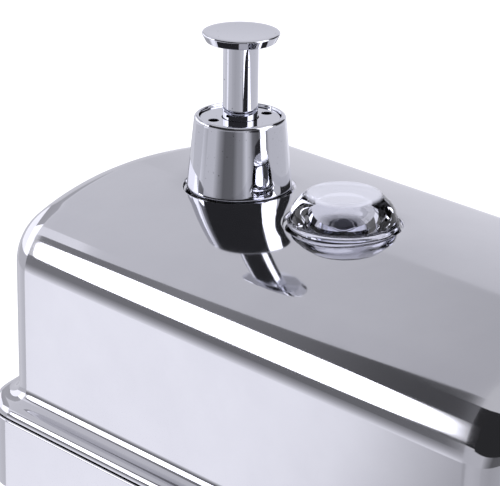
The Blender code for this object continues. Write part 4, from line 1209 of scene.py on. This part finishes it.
class DISPENSER_OT_lock(bpy.types.Operator):
    """Makes the cam lock: its chromed barrel, brass core with a keyway, nut, cam and screw"""

    bl_idname = "dispenser.lock"
    bl_label = "Lock"

    def execute(self, context):
        lid = context.scene.dispenser_lid
        high = LOCK_HIGH.z - HALF_HEIGHT
        low = LOCK_LOW.z - HALF_HEIGHT
        radius = LOCK_HIGH.x
        head_low = high - lid.lock_head
        dish = high - 0.0003
        rounding = 0.0008
        profile = [(lid.lock_core + CLEAR, low), (lid.lock_barrel - EDGE, low), (lid.lock_barrel, low + EDGE),
                   (lid.lock_barrel, head_low)]
        profile += arc((radius - FINE_EDGE, head_low + FINE_EDGE), FINE_EDGE, -90, 0, 3)
        profile += arc((radius - rounding, high - rounding), rounding, 0, 90, ROUND_STEPS)
        profile += [(lid.lock_core + 0.0012, high), (lid.lock_core + 0.0009, dish), (lid.lock_core + CLEAR, dish)]
        finish_object("lock_barrel", on_lock(turned(profile)), "lid", "chrome_plate", ["lock_body"], sharp=35)
        softened("lock_back_nut", "lock_nut", "lid", "mill_steel", EDGE)

        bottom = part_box("lock_plug")[0].z - HALF_HEIGHT
        tang = lid.lock_tang
        profile = [(0, bottom), (tang, bottom), (tang, low - CLEAR), (lid.lock_core, low - CLEAR),
                   (lid.lock_core, dish - FINE_EDGE), (lid.lock_core - FINE_EDGE, dish), (0, dish)]
        core = finish_object("lock_core", on_lock(turned(profile, 64, closed=False)), "lock", "lock_brass",
                             ["lock_plug"], sharp=35)
        key_half_width, key_half_gap = 0.0021, 0.0005
        keyway = block((-key_half_width, LOCK_Y - key_half_gap, HALF_HEIGHT),
                       (key_half_width, LOCK_Y + key_half_gap, HALF_HEIGHT + 0.010))
        cut_out(core, [keyway])
        softened("lock_tongue", "lock_cam", "lock", "mill_steel", FINE_EDGE)
        screw_low, screw_high = (end.z - HALF_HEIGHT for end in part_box("cam_screw"))
        profile = [(0, screw_low + 0.0006), (0.0009, screw_low + 0.0006), (0.0010, screw_low), (0.0020, screw_low)]
        profile += arc((0.0021, screw_low + 0.0009), 0.0009, -90, 0, 6)[1:] + [(0.0030, screw_high), (0, screw_high)]
        finish_object("lock_screw", on_lock(turned(profile, 48, closed=False)), "lock", "mill_steel",
                      ["cam_screw"])
        return {"FINISHED"}


class DISPENSER_OT_stage(bpy.types.Operator):
    """Makes the floor, the light and the camera"""

    bl_idname = "dispenser.stage"
    bl_label = "Stage"

    def execute(self, context):
        scene = context.scene
        stage = scene.dispenser_stage
        world = bpy.data.worlds.new("studio")
        world.use_nodes = True
        backdrop = world.node_tree.nodes["Background"]
        backdrop.inputs["Color"].default_value = (*stage.surround, 1)
        ray = add(world.node_tree, "ShaderNodeLightPath")
        glow = add(world.node_tree, "ShaderNodeMapRange", {"To Min": stage.surround_strength,
                   "To Max": stage.mirrored_strength}, {"Value": ray.outputs["Is Glossy Ray"]})
        world.node_tree.links.new(glow.outputs["Result"], backdrop.inputs["Strength"])
        scene.world = world
        scene.view_settings.view_transform = "Standard"
        lay_floor(stage)
        reach = CARD_REACH
        for about_pump, cards in ((True, PUMP_CARDS), (False, TANK_CARDS)):
            for card in cards:
                hang_card(reach, about_pump, *card)
                reach -= CARD_GAP
        place_camera(scene, stage)
        return {"FINISHED"}


def lay_floor(stage):
    """A plain white floor, well below the dispenser."""
    mesh = bmesh.new()
    bmesh.ops.create_grid(mesh, x_segments=1, y_segments=1, size=stage.floor_size)
    bmesh.ops.translate(mesh, vec=(0, 0, stage.floor_z), verts=mesh.verts)
    floor = new_object("floor", mesh)
    paint = bpy.data.materials.new("matt_white_floor")
    paint.use_nodes = True
    shader = paint.node_tree.nodes["Principled BSDF"]
    shader.inputs["Base Color"].default_value = (0.85, 0.85, 0.86, 1)
    shader.inputs["Roughness"].default_value = 0.9
    shader.inputs["Emission Color"].default_value = (1, 1, 1, 1)
    shader.inputs["Emission Strength"].default_value = 0.45
    floor.data.materials.append(paint)
    floor.visible_glossy = False
    floor.visible_transmission = False


def hang_card(reach, about_pump, name, start, stop, low, high, strengths, run):
    """A patch of a sphere round the dispenser that glows with the given strengths."""
    mesh = bmesh.new()
    if run == "round":
        bmesh.ops.create_circle(mesh, cap_ends=True, segments=96, radius=1)
        for vert in mesh.verts:
            vert.co.x = math.copysign(abs(vert.co.x) ** SQUARE_ACROSS, vert.co.x)
            vert.co.y = math.copysign(abs(vert.co.y) ** SQUARE_UP, vert.co.y)
    else:
        bmesh.ops.create_grid(mesh, x_segments=24, y_segments=24, size=1)
    glow = mesh.verts.layers.float_color.new("glow")
    for vert in mesh.verts:
        across = (vert.co.x + 1) / 2
        up = (vert.co.y + 1) / 2
        place = (across if run == "across" else up) * (len(strengths) - 1)
        step = min(int(place), max(0, len(strengths) - 2))
        strength = strengths[step]
        if len(strengths) > 1:
            strength += (strengths[step + 1] - strength) * (place - step)
        vert[glow] = (*[channel * strength for channel in CARD_TINT], 1)
        left = start - LEAN * up ** LEAN_BEND if run == "lean" else start
        right = start + (stop - start) * (1 - up) ** TAPER_BEND if run == "taper" else stop
        turn = math.radians(left + (right - left) * across)
        tilt = math.radians(low + (high - low) * up)
        if about_pump:
            vert.co = (math.cos(turn) * math.cos(tilt), math.sin(tilt), math.sin(turn) * math.cos(tilt))
        else:
            vert.co = (math.sin(turn) * math.cos(tilt), -math.cos(turn) * math.cos(tilt), math.sin(tilt))
        vert.co *= reach
    card = new_object(name, mesh)
    paint = bpy.data.materials.new(name)
    paint.use_nodes = True
    tree = paint.node_tree
    tree.nodes.clear()
    shade = add(tree, "ShaderNodeAttribute", {"attribute_name": "glow"})
    lamp = add(tree, "ShaderNodeEmission", {}, {"Color": shade.outputs["Color"]})
    tree.links.new(lamp.outputs["Emission"], add(tree, "ShaderNodeOutputMaterial").inputs["Surface"])
    card.data.materials.append(paint)
    card.visible_camera = False
    card.visible_diffuse = False
    card.visible_shadow = False


def place_camera(scene, stage):
    """Stands the camera in its place, looking back along its bearing and tilt with the front facing up."""
    bearing = math.radians(stage.bearing)
    tilt = math.radians(stage.tilt)
    back = Vector((math.sin(bearing) * math.cos(tilt), -math.cos(bearing) * math.cos(tilt), math.sin(tilt)))
    right = (-back).cross(Vector((0, -1, 0))).normalized()
    up = right.cross(-back)
    turn = Matrix.Rotation(math.radians(stage.roll), 3, back)
    camera = bpy.data.objects.new("camera", bpy.data.cameras.new("camera"))
    scene.collection.objects.link(camera)
    camera.data.lens = stage.lens
    camera.data.clip_start = 0.01
    rotation = (turn @ Matrix((right, up, back)).transposed()).to_4x4()
    camera.matrix_world = Matrix.Translation(stage.place) @ rotation
    scene.camera = camera


class DISPENSER_PT_panel(bpy.types.Panel):
    """Sizes and operators of the dispenser"""

    bl_idname = "DISPENSER_PT_panel"
    bl_label = "Soap dispenser"
    bl_space_type = "VIEW_3D"
    bl_region_type = "UI"
    bl_category = "Dispenser"

    def draw(self, context):
        for group_name, title, _ in SETTINGS:
            group = getattr(context.scene, group_name)
            column = self.layout.column(align=True)
            column.label(text=title)
            for key in group.bl_rna.properties.keys():
                if key not in ("rna_type", "name"):
                    column.prop(group, key)
        for operator in BUILD_ORDER:
            self.layout.operator(operator.bl_idname)


SETTINGS = (
    ("dispenser_tank", "Tank", TankSizes),
    ("dispenser_pump", "Pump", PumpSizes),
    ("dispenser_window", "Window", WindowSizes),
    ("dispenser_lid", "Lid and lock", LidSizes),
    ("dispenser_finish", "Finishes", Finishes),
    ("dispenser_stage", "Stage", StageSettings),
)
BUILD_ORDER = (
    DISPENSER_OT_tank_front,
    DISPENSER_OT_tank_rear,
    DISPENSER_OT_wall_fixings,
    DISPENSER_OT_pump_head,
    DISPENSER_OT_plunger,
    DISPENSER_OT_pump_inside,
    DISPENSER_OT_window,
    DISPENSER_OT_lid,
    DISPENSER_OT_lock,
    DISPENSER_OT_stage,
)


def register():
    for _, _, group in SETTINGS:
        bpy.utils.register_class(group)
    for cls in BUILD_ORDER + (DISPENSER_PT_panel,):
        bpy.utils.register_class(cls)
    for name, _, group in SETTINGS:
        setattr(bpy.types.Scene, name, bpy.props.PointerProperty(type=group))


def unregister():
    for name, _, _ in SETTINGS:
        delattr(bpy.types.Scene, name)
    for cls in reversed(BUILD_ORDER + (DISPENSER_PT_panel,)):
        bpy.utils.unregister_class(cls)
    for _, _, group in SETTINGS:
        bpy.utils.unregister_class(group)


def main():
    register()
    for operator in BUILD_ORDER:
        group, name = operator.bl_idname.split(".")
        getattr(getattr(bpy.ops, group), name)()


if __name__ == "__main__":
    main()
